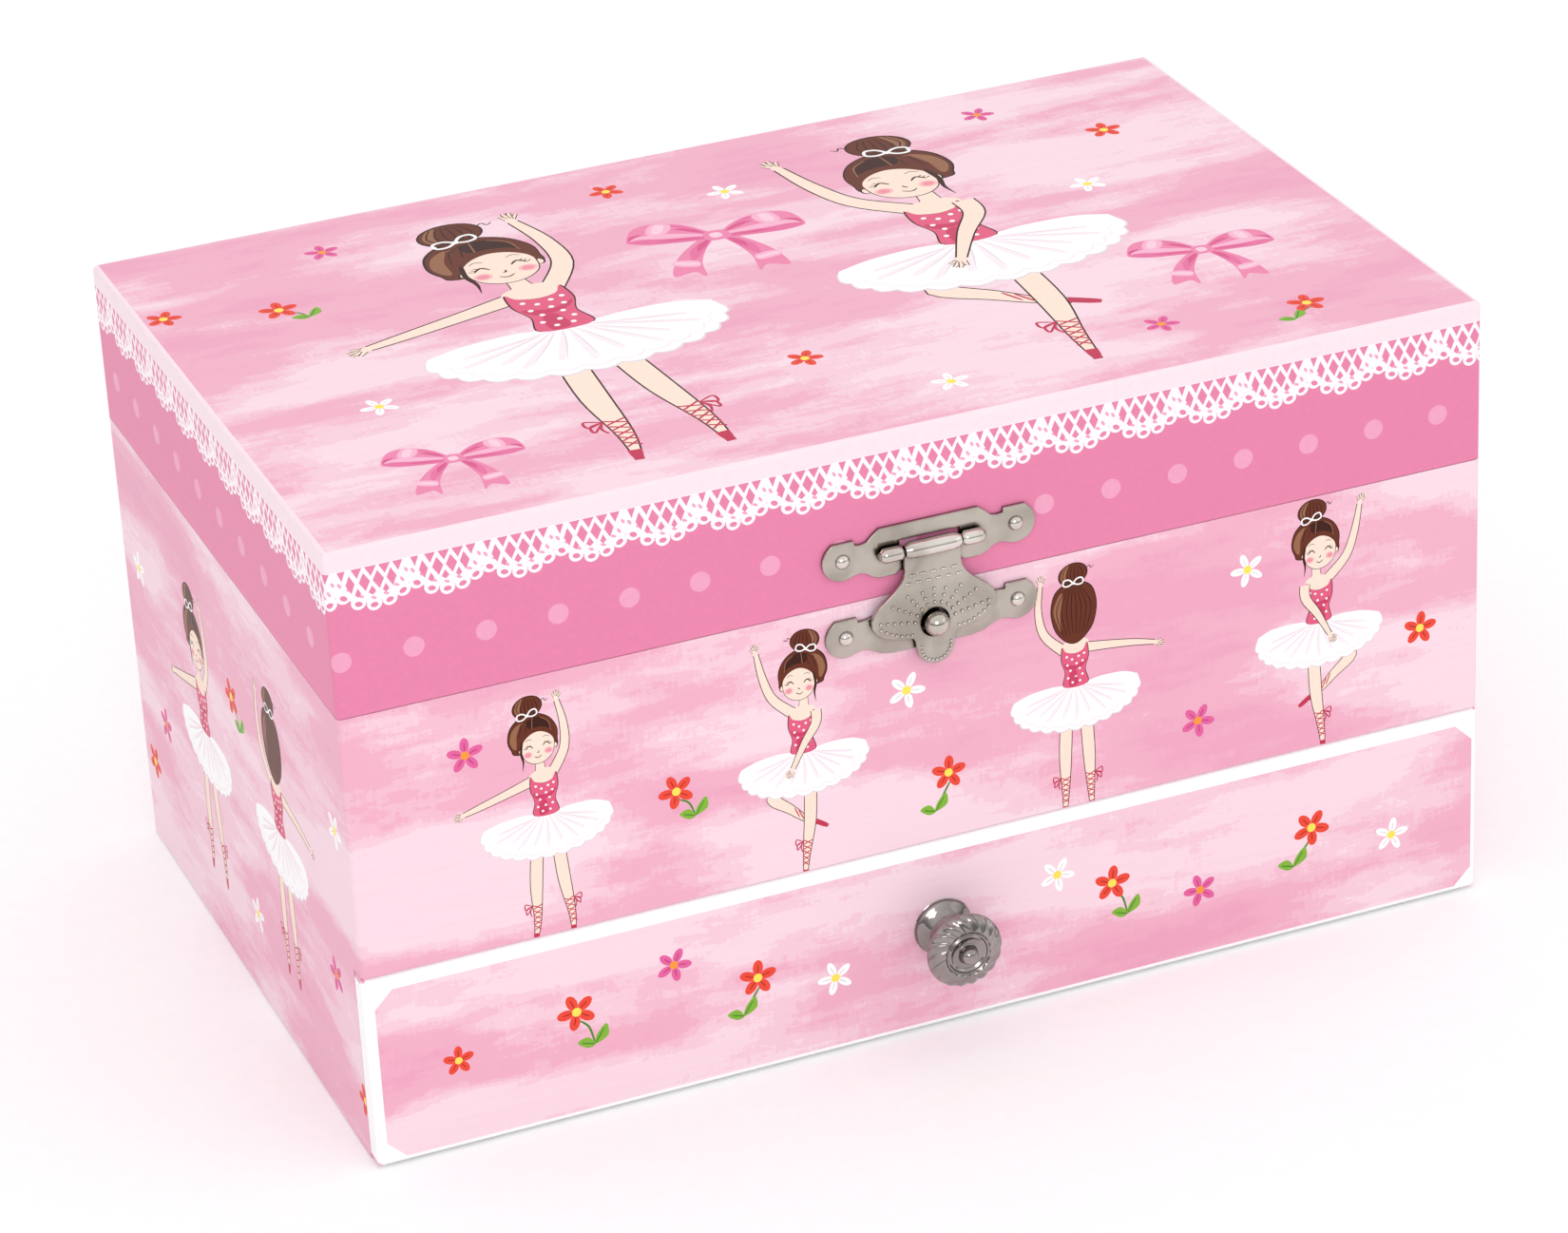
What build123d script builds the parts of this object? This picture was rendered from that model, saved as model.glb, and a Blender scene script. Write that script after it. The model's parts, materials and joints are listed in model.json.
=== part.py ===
from build123d import *
import math
import os

# Musical jewellery box: paper-covered board case, drawer, hinged lid with latch, and a wind-up
# movement that turns a dancer on a spring. Millimetres. X to the right, front at -Y, Z up.
# Origin: centre of the underside. Lid closed, drawer shut, dancer folded forward under the lid.

# ---- driving dimensions: case, trays and lid ------------------------------------------------
BOX_W = 190.0            # outside width, X
BOX_D = 120.0            # outside depth, Y
BOX_H = 105.0            # outside height, Z
LID_H = 27.0             # height of the lid
LID_GAP = 0.15           # parting line between lid and case
BOARD = 3.0              # outer board thickness
THIN = 2.0               # inner board thickness
CORNER_R = 0.8           # rounding of the outer edges
GAP = 0.4                # clearance round the drawer
FIT = 0.3                # clearance round loose linings
DRAWER_TOP = 33.4        # top of the drawer front
DRAWER_FRONT_T = 3.5     # thickness of the drawer front
DRAWER_DEPTH = 70.0      # drawer box behind its front
DRAWER_WALL_TOP = 30.5   # top of the drawer's other three walls
SHELF_Z = 33.8           # underside of the middle shelf
SHELF_T = 2.5
DIVIDER_TOP = 64.0       # top of the tray dividers
STAGE_TOP = 57.0         # top of the movement cover
STAGE_W = 76.0           # outside width of the movement cover
STAGE_FRONT = 14.0       # front face of the movement cover, Y
REAR_Y = 20.0            # front of the space that holds the movement
LINING_T = 2.0
RING_ROLLS = 9
ROLL_SIDE_H = 8.0        # straight height of a ring roll below its round top
MIRROR = (150.0, 90.0, 1.5)
MIRROR_RIM = 3.0         # lid lining that laps over the mirror's edge
LID_LINING_T = 2.7

# ---- driving dimensions: hinges, latch and knob -----------------------------------------------
PIN_R = 0.8              # hinge pins
HINGE_OUT = 1.7          # hinge axis behind the back board
HINGE_R = 1.6            # knuckle radius
HINGE_X = 60.0           # hinge centre from the middle
HINGE_LEN = 17.0
KNUCKLE_LEN = 4.4        # each outer knuckle
LEAF_T = 0.9
LEAF_SPAN = (2.0, 12.5)  # nearest and farthest edge of a leaf from the axis
HINGE_NAIL = (5.5, 7.5)  # nail position along and away from the axis
NAIL_R = 0.6
NAIL_LEN = 3.2
NAIL_HEAD = (1.9, 0.9)   # sphere radius and height of the domed head
LATCH_T = 0.8            # stamped sheet
KNUCKLE_Z = 85.6         # latch hinge pin height
KNUCKLE_R = 1.0
LATCH_PIN_R = 0.5
HASP_HALF = 4.65         # half width of the hasp's neck
HASP_CLEAR = 0.3         # hasp leaf in front of the plates
STUD_Z = 72.6            # ball stud height
STUD_R = 2.0
LOBE_X = 14.3            # nail positions either side of the middle
LOBE_R = 3.3
KNOB_Z = 18.0
KNOB_BORE = 1.22
KNOB_SCREW_R = 1.2
FLUTES = 20
RUN_FIT = 0.05           # radial clearance of a running fit

# ---- driving dimensions: music movement and dancer --------------------------------------------
SPINDLE_Y = 36.6         # upright axis of the cylinder, spindle and dancer
SPINDLE_R = 1.5
ARBOR_Z = 25.0           # winding axis height
ARBOR_R = 2.0
MODULE = 0.6
BED_T = 2.8              # bedplate thickness
BEDPLATE_SCREWS = [(-26.0, 48.0), (29.0, 49.0), (-26.0, 9.0)]
SCREW_R = 1.25
COMB_X = (-28.5, -19.5)  # width of the comb's seat
COMB_Z = (14.7, 34.7)
COMB_FACE = 38.0         # front face of the comb's seat, Y
COMB_T = 1.0
COMB_SCREW_X = -24.0
COMB_SCREW_Z = (18.7, 30.7)
STRAP_SCREW_X = 24.0
STRAP_SCREW_Z = (13.0, 40.0)
BARREL_R = 13.0
BARREL_FRONT = 45.0
BARREL_BACK = 52.0
CROWN_R = 11.4           # mean radius of the crown teeth
CROWN_TEETH = 24
CROWN_H = 1.2
PINION_TEETH = 16
PINION_R = 8.0
CYL_R = 6.1
CYL_Z = (15.2, 34.2)
NOTES = 18
TUNE_PIN = (0.22, 0.6)   # radius and height of a cylinder pin
WHEEL_TEETH = 36         # wheel on the cylinder
SMALL_TEETH = 12         # pinions of idler and fly
IDLER_TEETH = 30
WHEEL_Z = (39.0, 40.5)
IDLER_Z = (42.0, 43.5)
IDLER_ANGLE = -19.0      # direction from the spindle to the idler, degrees
FLY_ANGLE = 20.0         # direction from the idler to the fly
FAN_Z = (15.0, 36.0)
FAN_R = 7.0
ARM_T = 2.0
LOW_ARM_Z = 8.0
TOP_ARM_Z = 45.0
PIVOT_R = 0.75
STOP_R = 0.7
STOP_KNOB_R = 1.6
PIVOT_Z = 69.0           # bending centre of the dancer's spring
SPRING_HALF = 8.0        # spring end to bending centre
SPRING_R = 2.6
SPRING_WIRE = 0.6
CUP_R = 3.4
CUP_H = 3.4
TUTU_R = 10.8
FOLD = 60.0              # dancer's lean when the lid is shut, degrees

# ---- worked out from the above ------------------------------------------------------------
HALF_W = BOX_W / 2
HALF_D = BOX_D / 2
LID_Z = BOX_H - LID_H
INNER_X = HALF_W - BOARD
INNER_Y = HALF_D - BOARD
TRAY_Z = SHELF_Z + SHELF_T
COVER_IN = STAGE_W / 2 - THIN
DRAWER_FRONT_BACK = -HALF_D + DRAWER_FRONT_T
DRAWER_BACK = DRAWER_FRONT_BACK + DRAWER_DEPTH
DRAWER_X = INNER_X - GAP
DRAWER_Z = BOARD + GAP
HINGE_AXIS_Y = HALF_D + HINGE_OUT
FRONT = -HALF_D
KNUCKLE_Y = FRONT - 1.9
HASP_BACK = FRONT - LATCH_T - HASP_CLEAR
BED_Y = INNER_Y - BED_T              # front face of the bedplate
MESH_1 = MODULE * (WHEEL_TEETH + SMALL_TEETH) / 2
MESH_2 = MODULE * (IDLER_TEETH + SMALL_TEETH) / 2
NOTE_PITCH = (CYL_Z[1] - CYL_Z[0]) / NOTES
BODY_Z = SPRING_HALF + CUP_H


def beside(x, y, reach, degrees):
    """Point at a distance and direction from another, seen from above."""
    return (x + reach * math.cos(math.radians(degrees)), y + reach * math.sin(math.radians(degrees)))


IDLER_XY = beside(0, SPINDLE_Y, MESH_1, IDLER_ANGLE)
FLY_XY = beside(*IDLER_XY, MESH_2, FLY_ANGLE)
STOP_XY = (FLY_XY[0] + 6.0, FLY_XY[1])

nodes = {}


def block(x0, x1, y0, y1, z0, z1):
    """Box between two corners."""
    size = (x1 - x0, y1 - y0, z1 - z0)
    return Pos((x0 + x1) / 2, (y0 + y1) / 2, (z0 + z1) / 2) * Box(*size)


def rod(start, axis, length, radius):
    """Cylinder from a start point along an axis."""
    plane = Plane(origin=start, z_dir=axis)
    return plane * Pos(0, 0, length / 2) * Cylinder(radius, length)


def rounded_uprights(solid):
    """Round the upright edges at the outer corners of the box."""
    corner = [e for e in solid.edges().filter_by(Axis.Z)
              if abs(abs(e.center().X) - HALF_W) < 0.01 and abs(abs(e.center().Y) - HALF_D) < 0.01]
    return fillet(corner, CORNER_R)


def rounded_face(solid, axis):
    """Round the upright corners and the edges of the highest face along an axis."""
    top = solid.faces().sort_by(axis)[-1].edges()
    corner = [e for e in solid.edges().filter_by(Axis.Z)
              if abs(abs(e.center().X) - HALF_W) < 0.01 and abs(abs(e.center().Y) - HALF_D) < 0.01]
    missing = [e for e in corner if all((e.center() - t.center()).length > 0.01 for t in top)]
    return fillet(list(top) + missing, CORNER_R)


# ---- case ---------------------------------------------------------------------------------
def make_case():
    nodes["case_bottom"] = block(-INNER_X, INNER_X, DRAWER_FRONT_BACK + 0.3, INNER_Y, 0, BOARD)
    notch = block(-BOX_W, BOX_W, -BOX_D, DRAWER_FRONT_BACK + 0.2, -1, DRAWER_TOP + GAP)
    for name, side in (("case_left_side", -1), ("case_right_side", 1)):
        x0, x1 = sorted((side * INNER_X, side * HALF_W))
        board = block(x0, x1, -HALF_D, HALF_D, 0, LID_Z)
        nodes[name] = rounded_uprights(board) - notch
    back = block(-INNER_X, INNER_X, INNER_Y, HALF_D, 0, LID_Z)
    back -= rod((0, INNER_Y - 1, ARBOR_Z), (0, 1, 0), BOARD + 2, 3.5)
    for x, z in BEDPLATE_SCREWS:
        back -= rod((x, INNER_Y - 1, z), (0, 1, 0), BOARD + 2, SCREW_R + 0.1)
    nodes["case_back"] = back
    nodes["case_front_panel"] = block(-INNER_X, INNER_X, -HALF_D, -INNER_Y, SHELF_Z, LID_Z)
    shelf = block(-INNER_X, INNER_X, -INNER_Y, INNER_Y, SHELF_Z, TRAY_Z)
    shelf -= block(-COVER_IN, COVER_IN, REAR_Y, INNER_Y + 1, SHELF_Z - 1, TRAY_Z + 1)
    nodes["middle_shelf"] = shelf
    nodes["rear_partition"] = block(-INNER_X, INNER_X, REAR_Y - THIN, REAR_Y, BOARD, SHELF_Z)
    for name, side in (("tray_divider_left", -1), ("tray_divider_right", 1)):
        x0, x1 = sorted((side * (STAGE_W / 2 + GAP), side * (STAGE_W / 2 + GAP + THIN)))
        nodes[name] = block(x0, x1, -INNER_Y, INNER_Y, TRAY_Z, DIVIDER_TOP)


# ---- tray furnishing ----------------------------------------------------------------------
def make_tray():
    inner = STAGE_W / 2 + GAP + THIN
    x0, x1 = -INNER_X + 0.4, -inner - 0.4
    pitch = (2 * INNER_Y - 0.8) / RING_ROLLS
    rolls = []
    for i in range(RING_ROLLS):
        y = -INNER_Y + 0.4 + (i + 0.5) * pitch
        radius = pitch / 2 - 0.25
        crown_z = TRAY_Z + ROLL_SIDE_H
        body = block(x0, x1, y - radius, y + radius, TRAY_Z, crown_z)
        crown = rod((x0, y, crown_z), (1, 0, 0), x1 - x0, radius)
        rolls.append(body + crown)
    nodes["ring_rolls"] = Compound(children=rolls)
    pad_top = TRAY_Z + LINING_T
    front, back = -INNER_Y + FIT, INNER_Y - FIT
    middle = block(-inner + THIN, inner - THIN, front, STAGE_FRONT - FIT, TRAY_Z, pad_top)
    right = block(inner + FIT, INNER_X - FIT, front, back, TRAY_Z, pad_top)
    nodes["tray_lining"] = Compound(children=[middle, right])


def make_stage():
    half = STAGE_W / 2
    cover = block(-half, half, STAGE_FRONT, INNER_Y, TRAY_Z, STAGE_TOP)
    cover -= block(-COVER_IN, COVER_IN, STAGE_FRONT + THIN, INNER_Y + 1, TRAY_Z - 1, STAGE_TOP - THIN)
    cover -= rod((0, SPINDLE_Y, STAGE_TOP - 5), (0, 0, 1), 10, 2.2)
    cover -= rod((*STOP_XY, STAGE_TOP - 5), (0, 0, 1), 10, 1.1)
    nodes["movement_cover"] = cover


# ---- drawer -------------------------------------------------------------------------------
def make_drawer():
    front = block(-HALF_W, HALF_W, -HALF_D, DRAWER_FRONT_BACK, GAP, DRAWER_TOP)
    front = rounded_face(front, -Axis.Y)
    front -= rod((0, -HALF_D - 1, KNOB_Z), (0, 1, 0), DRAWER_FRONT_T + 2, 1.6)
    nodes["drawer_front"] = front
    for name, side in (("drawer_left_side", -1), ("drawer_right_side", 1)):
        x0, x1 = sorted((side * (DRAWER_X - THIN), side * DRAWER_X))
        nodes[name] = block(x0, x1, DRAWER_FRONT_BACK, DRAWER_BACK, DRAWER_Z, DRAWER_WALL_TOP)
    in_x = DRAWER_X - THIN
    nodes["drawer_back"] = block(-in_x, in_x, DRAWER_BACK - THIN, DRAWER_BACK, DRAWER_Z, DRAWER_WALL_TOP)
    bottom_top = DRAWER_Z + THIN
    nodes["drawer_bottom"] = block(-in_x, in_x, DRAWER_FRONT_BACK, DRAWER_BACK - THIN,
                                   DRAWER_Z, bottom_top)
    nodes["drawer_lining"] = block(-in_x + FIT, in_x - FIT, DRAWER_FRONT_BACK + FIT,
                                   DRAWER_BACK - THIN - FIT, bottom_top, bottom_top + LINING_T)


def make_knob():
    """Turned profile: flange, neck, broad head with a small central dome, and fluted face."""
    dome_foot, dome_z, dome_h = 2.2, 10.2, 1.5
    dome_r = (dome_foot ** 2 + dome_h ** 2) / (2 * dome_h)
    half = math.asin(dome_foot / dome_r) / 2
    dome_top = dome_z + dome_h
    dome_mid = (dome_r * math.sin(half), dome_top - dome_r * (1 - math.cos(half)))
    profile = Curve() + [
        Polyline((KNOB_BORE, 0), (4.75, 0), (4.75, 0.9), (3.9, 1.5), (2.9, 2.6), (2.6, 4.6)),
        ThreePointArc((2.6, 4.6), (3.6, 6.6), (5.6, 7.6)),
        ThreePointArc((5.6, 7.6), (6.25, 8.4), (5.9, 9.4)),
        Polyline((5.9, 9.4), (4.0, 10.3), (3.3, 9.9), (dome_foot, dome_z)),
        ThreePointArc((dome_foot, dome_z), dome_mid, (0, dome_top)),
        Polyline((0, dome_top), (0, 6.5), (KNOB_BORE, 6.5), (KNOB_BORE, 0)),
    ]
    sketch = make_face(Plane.XZ * profile)
    knob = revolve(sketch, Axis.Z)
    for i in range(FLUTES):
        angle = i * 360 / FLUTES
        groove = rod((5.9, 0, 7.2), (-0.35, 0.55, 1), 5, 0.32)
        knob -= Rot(0, 0, angle) * groove
    to_front = Plane(origin=(0, -HALF_D, KNOB_Z), z_dir=(0, -1, 0))
    nodes["drawer_knob"] = to_front * knob
    screw = rod((0, 0, -DRAWER_FRONT_T - 1.4), (0, 0, 1), 1.4, 2.8)
    screw += rod((0, 0, -DRAWER_FRONT_T), (0, 0, 1), DRAWER_FRONT_T + 6, KNOB_SCREW_R)
    screw -= block(-3, 3, -0.4, 0.4, -DRAWER_FRONT_T - 2, -DRAWER_FRONT_T - 0.8)
    nodes["knob_screw"] = to_front * screw


# ---- lid ----------------------------------------------------------------------------------
def make_lid():
    roof = block(-HALF_W, HALF_W, -HALF_D, HALF_D, BOX_H - BOARD, BOX_H)
    nodes["lid_top"] = rounded_face(roof, Axis.Z)
    for name, side in (("lid_left_wall", -1), ("lid_right_wall", 1)):
        x0, x1 = sorted((side * INNER_X, side * HALF_W))
        wall = block(x0, x1, -HALF_D, HALF_D, LID_Z + LID_GAP, BOX_H - BOARD)
        nodes[name] = rounded_uprights(wall)
    for name, side in (("lid_front_wall", -1), ("lid_back_wall", 1)):
        y0, y1 = sorted((side * INNER_Y, side * HALF_D))
        nodes[name] = block(-INNER_X, INNER_X, y0, y1, LID_Z + LID_GAP, BOX_H - BOARD)
    under = BOX_H - BOARD
    mirror_x, mirror_y, mirror_t = MIRROR[0] / 2, MIRROR[1] / 2, MIRROR[2]
    nodes["lid_mirror"] = block(-mirror_x, mirror_x, -mirror_y, mirror_y, under - mirror_t, under)
    lining = block(-INNER_X + FIT, INNER_X - FIT, -INNER_Y + FIT, INNER_Y - FIT,
                   under - LID_LINING_T, under)
    pocket_x, pocket_y = mirror_x + 0.2, mirror_y + 0.2
    lining -= block(-pocket_x, pocket_x, -pocket_y, pocket_y, under - mirror_t - 0.05, under + 1)
    window_x, window_y = pocket_x - MIRROR_RIM, pocket_y - MIRROR_RIM
    lining -= block(-window_x, window_x, -window_y, window_y, under - 5, under)
    nodes["lid_lining"] = lining


# ---- back hinges --------------------------------------------------------------------------
def hinge_leaf(side, knuckles):
    """One stamped leaf with its curled knuckles; side is -1 below the axis, 1 above it."""
    z0, z1 = sorted(LID_Z + side * reach for reach in LEAF_SPAN)
    leaf = block(-HINGE_LEN / 2, HINGE_LEN / 2, HALF_D, HALF_D + LEAF_T, z0, z1)
    for x0, x1 in knuckles:
        barrel = rod((x0, HINGE_AXIS_Y, LID_Z), (1, 0, 0), x1 - x0, HINGE_R)
        z0, z1 = sorted((LID_Z, LID_Z + side * 2.2))
        curl = block(x0, x1, HALF_D, HINGE_AXIS_Y, z0, z1)
        curl -= block(x0 - 1, x1 + 1, HALF_D + LEAF_T, HINGE_AXIS_Y + 1, *sorted(
            (LID_Z + side * HINGE_R, LID_Z + side * 4)))
        leaf += barrel + curl
    leaf -= rod((-HINGE_LEN, HINGE_AXIS_Y, LID_Z), (1, 0, 0), 2 * HINGE_LEN, PIN_R + RUN_FIT)
    along, away = HINGE_NAIL
    for x in (-along, along):
        leaf -= rod((x, HALF_D - 1, LID_Z + side * away), (0, 1, 0), 4, NAIL_R + RUN_FIT)
    return leaf


def domed_nail(point, direction):
    """Round nail whose flat-bottomed dome sits at point; the shank runs the other way."""
    radius, height = NAIL_HEAD
    head = Sphere(radius) & Pos(0, 0, radius) * Box(8, 8, 2 * height + 0.2)
    head = Pos(0, 0, -height) * head
    nail = head + rod((0, 0, 0), (0, 0, -1), NAIL_LEN, NAIL_R)
    return Plane(origin=point, z_dir=direction) * nail


def make_hinges():
    half = HINGE_LEN / 2
    outer = [(-half, -half + KNUCKLE_LEN), (half - KNUCKLE_LEN, half)]
    inner = [(-half + KNUCKLE_LEN + 0.2, half - KNUCKLE_LEN - 0.2)]
    places = [Pos(x, 0, 0) for x in (-HINGE_X, HINGE_X)]
    nodes["hinge_case_leaves"] = Compound(children=[p * hinge_leaf(-1, outer) for p in places])
    nodes["hinge_lid_leaves"] = Compound(children=[p * hinge_leaf(1, inner) for p in places])
    pin = rod((-half - 0.4, HINGE_AXIS_Y, LID_Z), (1, 0, 0), HINGE_LEN + 0.8, PIN_R)
    nodes["hinge_pins"] = Compound(children=[p * pin for p in places])
    along, away = HINGE_NAIL
    for name, side in (("case_hinge_nails", -1), ("lid_hinge_nails", 1)):
        nails = [domed_nail((x + dx, HALF_D + LEAF_T, LID_Z + side * away), (0, 1, 0))
                 for x in (-HINGE_X, HINGE_X) for dx in (-along, along)]
        nodes[name] = Compound(children=nails)


# ---- latch --------------------------------------------------------------------------------
def stamped(outline, back_y, thickness=LATCH_T):
    """Flat stamping from an XZ outline whose back face is at back_y; it grows towards the front."""
    plane = Plane(origin=(0, back_y, 0), x_dir=(1, 0, 0), z_dir=(0, -1, 0))
    return extrude(plane * outline, thickness)


def lobed_plate(z, body_half, body_top, body_bottom):
    """Outline shared by both plates: a body and two round nail lobes."""
    body = Pos(0, z + (body_top - body_bottom) / 2) * Rectangle(2 * body_half, body_top + body_bottom)
    waist = Pos(0, z) * Rectangle(2 * LOBE_X, 4.6)
    lobes = [Pos(side * LOBE_X, z) * Circle(LOBE_R) for side in (-1, 1)]
    tabs = [Pos(side * LOBE_X, z + LOBE_R - 0.5) * Rectangle(4.2, 1.6) for side in (-1, 1)]
    outline = body + waist + lobes[0] + lobes[1] + tabs[0] + tabs[1]
    for side in (-1, 1):
        outline -= Pos(side * LOBE_X, z) * Circle(NAIL_R + RUN_FIT)
    return outline


def make_latch():
    plate = lobed_plate(KNUCKLE_Z, 8.4, 4.1, 3.6)
    plate -= Pos(0, KNUCKLE_Z) * Rectangle(2 * HASP_HALF + 0.6, 3.0)
    shape = stamped(plate, FRONT)
    for x0, x1 in ((-8.6, -HASP_HALF - 0.15), (HASP_HALF + 0.15, 8.6)):
        shape += rod((x0, KNUCKLE_Y, KNUCKLE_Z), (1, 0, 0), x1 - x0, KNUCKLE_R)
        shape += block(x0, x1, KNUCKLE_Y, FRONT, KNUCKLE_Z - 0.7, KNUCKLE_Z + 0.7)
    shape -= rod((-10, KNUCKLE_Y, KNUCKLE_Z), (1, 0, 0), 20, LATCH_PIN_R + 0.01)
    nodes["latch_plate"] = shape
    nodes["latch_pin"] = rod((-8.8, KNUCKLE_Y, KNUCKLE_Z), (1, 0, 0), 17.6, LATCH_PIN_R)

    neck = Pos(0, (KNUCKLE_Z + 79) / 2) * Rectangle(2 * HASP_HALF, KNUCKLE_Z - 79)
    fan = Polyline((HASP_HALF, 79), (6.2, 76.6), (9.2, 74.4), (10.4, 72.4), (9.9, 70.6), (7.6, 69.4),
                   (3.6, 69.0))
    mirrored = [(-x, z) for x, z in ((3.6, 69.0), (7.6, 69.4), (9.9, 70.6), (10.4, 72.4),
                                     (9.2, 74.4), (6.2, 76.6), (HASP_HALF, 79))]
    fan_face = make_face(fan + Polyline((3.6, 69.0), *mirrored, (HASP_HALF, 79)))
    tab = Pos(0, 67.9) * Rectangle(6.3, 3.0) + Pos(0, 67.95) * Circle(3.15)
    outline = neck + fan_face + tab
    outline -= Pos(0, STUD_Z) * Circle(STUD_R + 0.35)
    hasp = stamped(outline, HASP_BACK)
    hasp += rod((-HASP_HALF, KNUCKLE_Y, KNUCKLE_Z), (1, 0, 0), 2 * HASP_HALF, KNUCKLE_R)
    hasp -= rod((-10, KNUCKLE_Y, KNUCKLE_Z), (1, 0, 0), 20, LATCH_PIN_R + RUN_FIT)
    nodes["hasp"] = hasp

    keeper = lobed_plate(STUD_Z, 9.4, 3.0, 4.3) - Pos(0, STUD_Z) * Circle(1.0)
    nodes["keeper_plate"] = stamped(keeper, FRONT)
    stud = rod((0, FRONT, STUD_Z), (0, -1, 0), 2.2, 0.98)
    stud += Pos(0, FRONT - 2.4, STUD_Z) * Sphere(STUD_R)
    stud -= block(-5, 5, FRONT - LATCH_T - 0.02, FRONT + 5, STUD_Z - 5, STUD_Z + 5)
    stud += rod((0, FRONT, STUD_Z), (0, -1, 0), 1.4, 0.98)
    nodes["keeper_stud"] = stud
    for name, z in (("latch_nails", KNUCKLE_Z), ("keeper_nails", STUD_Z)):
        nails = [domed_nail((side * LOBE_X, FRONT - LATCH_T, z), (0, -1, 0)) for side in (-1, 1)]
        nodes[name] = Compound(children=nails)


# ---- music movement -----------------------------------------------------------------------
def gear(teeth, thickness, bore, turn):
    """Spur gear with slim straight-sided teeth; turn is the angle of one tooth's centre line."""
    pitch_r = MODULE * teeth / 2
    tip_r, root_r = pitch_r + 0.8 * MODULE, pitch_r - 1.15 * MODULE
    step = 2 * math.pi / teeth
    points = []
    for i in range(teeth):
        centre = math.radians(turn) + i * step
        for radius, share in ((root_r, -0.20), (tip_r, -0.09), (tip_r, 0.09), (root_r, 0.20)):
            angle = centre + share * step
            points.append((radius * math.cos(angle), radius * math.sin(angle)))
    outline = make_face(Polyline(*points, points[0])) - Circle(bore)
    return extrude(outline, thickness)


def make_bedplate():
    plate = block(-30, 33, BED_Y, INNER_Y, 5, 53)
    plate += block(*COMB_X, COMB_FACE, BED_Y + 0.5, *COMB_Z)
    plate = fillet(plate.edges().filter_by(Axis.Y).sort_by(Axis.X)[:2], 2.5)
    plate -= rod((0, BED_Y - 1, ARBOR_Z), (0, 1, 0), BED_T + 2, ARBOR_R + RUN_FIT)
    for x, z in BEDPLATE_SCREWS:
        plate -= rod((x, BED_Y - 1, z), (0, 1, 0), BED_T + 2, SCREW_R + 0.02)
    for z in COMB_SCREW_Z:
        plate -= rod((COMB_SCREW_X, COMB_FACE - 1.5, z), (0, 1, 0), 8.5, 0.92)
    for z in STRAP_SCREW_Z:
        plate -= rod((STRAP_SCREW_X, BED_Y - 1, z), (0, 1, 0), BED_T + 2, 1.0)
    nodes["movement_bedplate"] = plate
    screws = []
    for x, z in BEDPLATE_SCREWS:
        screw = rod((x, HALF_D, z), (0, 1, 0), 1.4, 2.5)
        screw += rod((x, HALF_D, z), (0, -1, 0), BOARD + BED_T, SCREW_R)
        screw -= block(x - 3, x + 3, HALF_D + 0.8, HALF_D + 2, z - 0.4, z + 0.4)
        screws.append(screw)
    nodes["movement_screws"] = Compound(children=screws)


def make_bracket():
    strap_y = BED_Y - ARM_T
    bracket = block(16, 32, strap_y, BED_Y, LOW_ARM_Z, TOP_ARM_Z + ARM_T)
    for z in (LOW_ARM_Z, TOP_ARM_Z):
        bracket += block(-4, 34, 28.5, BED_Y, z, z + ARM_T)
    for (x, y), radius in (((0, SPINDLE_Y), SPINDLE_R), (IDLER_XY, PIVOT_R), (FLY_XY, PIVOT_R)):
        bracket -= rod((x, y, LOW_ARM_Z - 1), (0, 0, 1), 45, radius + RUN_FIT)
    bracket -= rod((*STOP_XY, TOP_ARM_Z - 1), (0, 0, 1), 5, STOP_R + 0.08)
    for z in STRAP_SCREW_Z:
        bracket -= rod((STRAP_SCREW_X, strap_y - 1, z), (0, 1, 0), ARM_T + 2, 1.1)
    nodes["bearing_bracket"] = bracket
    screws = []
    for z in STRAP_SCREW_Z:
        screw = rod((STRAP_SCREW_X, strap_y, z), (0, -1, 0), 1.2, 1.9)
        screw += rod((STRAP_SCREW_X, strap_y, z), (0, 1, 0), ARM_T + BED_T, 0.98)
        screws.append(screw)
    nodes["bracket_screws"] = Compound(children=screws)


def make_comb():
    tips = -(CYL_R + TUNE_PIN[1] + 0.12)
    y0 = SPINDLE_Y - COMB_T / 2
    base = block(*COMB_X, y0, COMB_FACE, *COMB_Z)
    tooth = 0.34 * NOTE_PITCH
    for i in range(NOTES):
        z = CYL_Z[0] + (i + 0.5) * NOTE_PITCH
        base += block(COMB_X[1] - 0.1, tips, y0, y0 + COMB_T, z - tooth, z + tooth)
    for z in COMB_SCREW_Z:
        base -= rod((COMB_SCREW_X, 30, z), (0, 1, 0), 10, 1.1)
    nodes["tuned_comb"] = base
    screws = []
    for z in COMB_SCREW_Z:
        screw = rod((COMB_SCREW_X, y0, z), (0, -1, 0), 1.3, 2.1)
        screw += rod((COMB_SCREW_X, y0, z), (0, 1, 0), 6.5, 0.9)
        screw -= block(COMB_SCREW_X - 3, COMB_SCREW_X + 3, y0 - 2, y0 - 0.7, z - 0.3, z + 0.3)
        screws.append(screw)
    nodes["comb_screws"] = Compound(children=screws)


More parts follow.
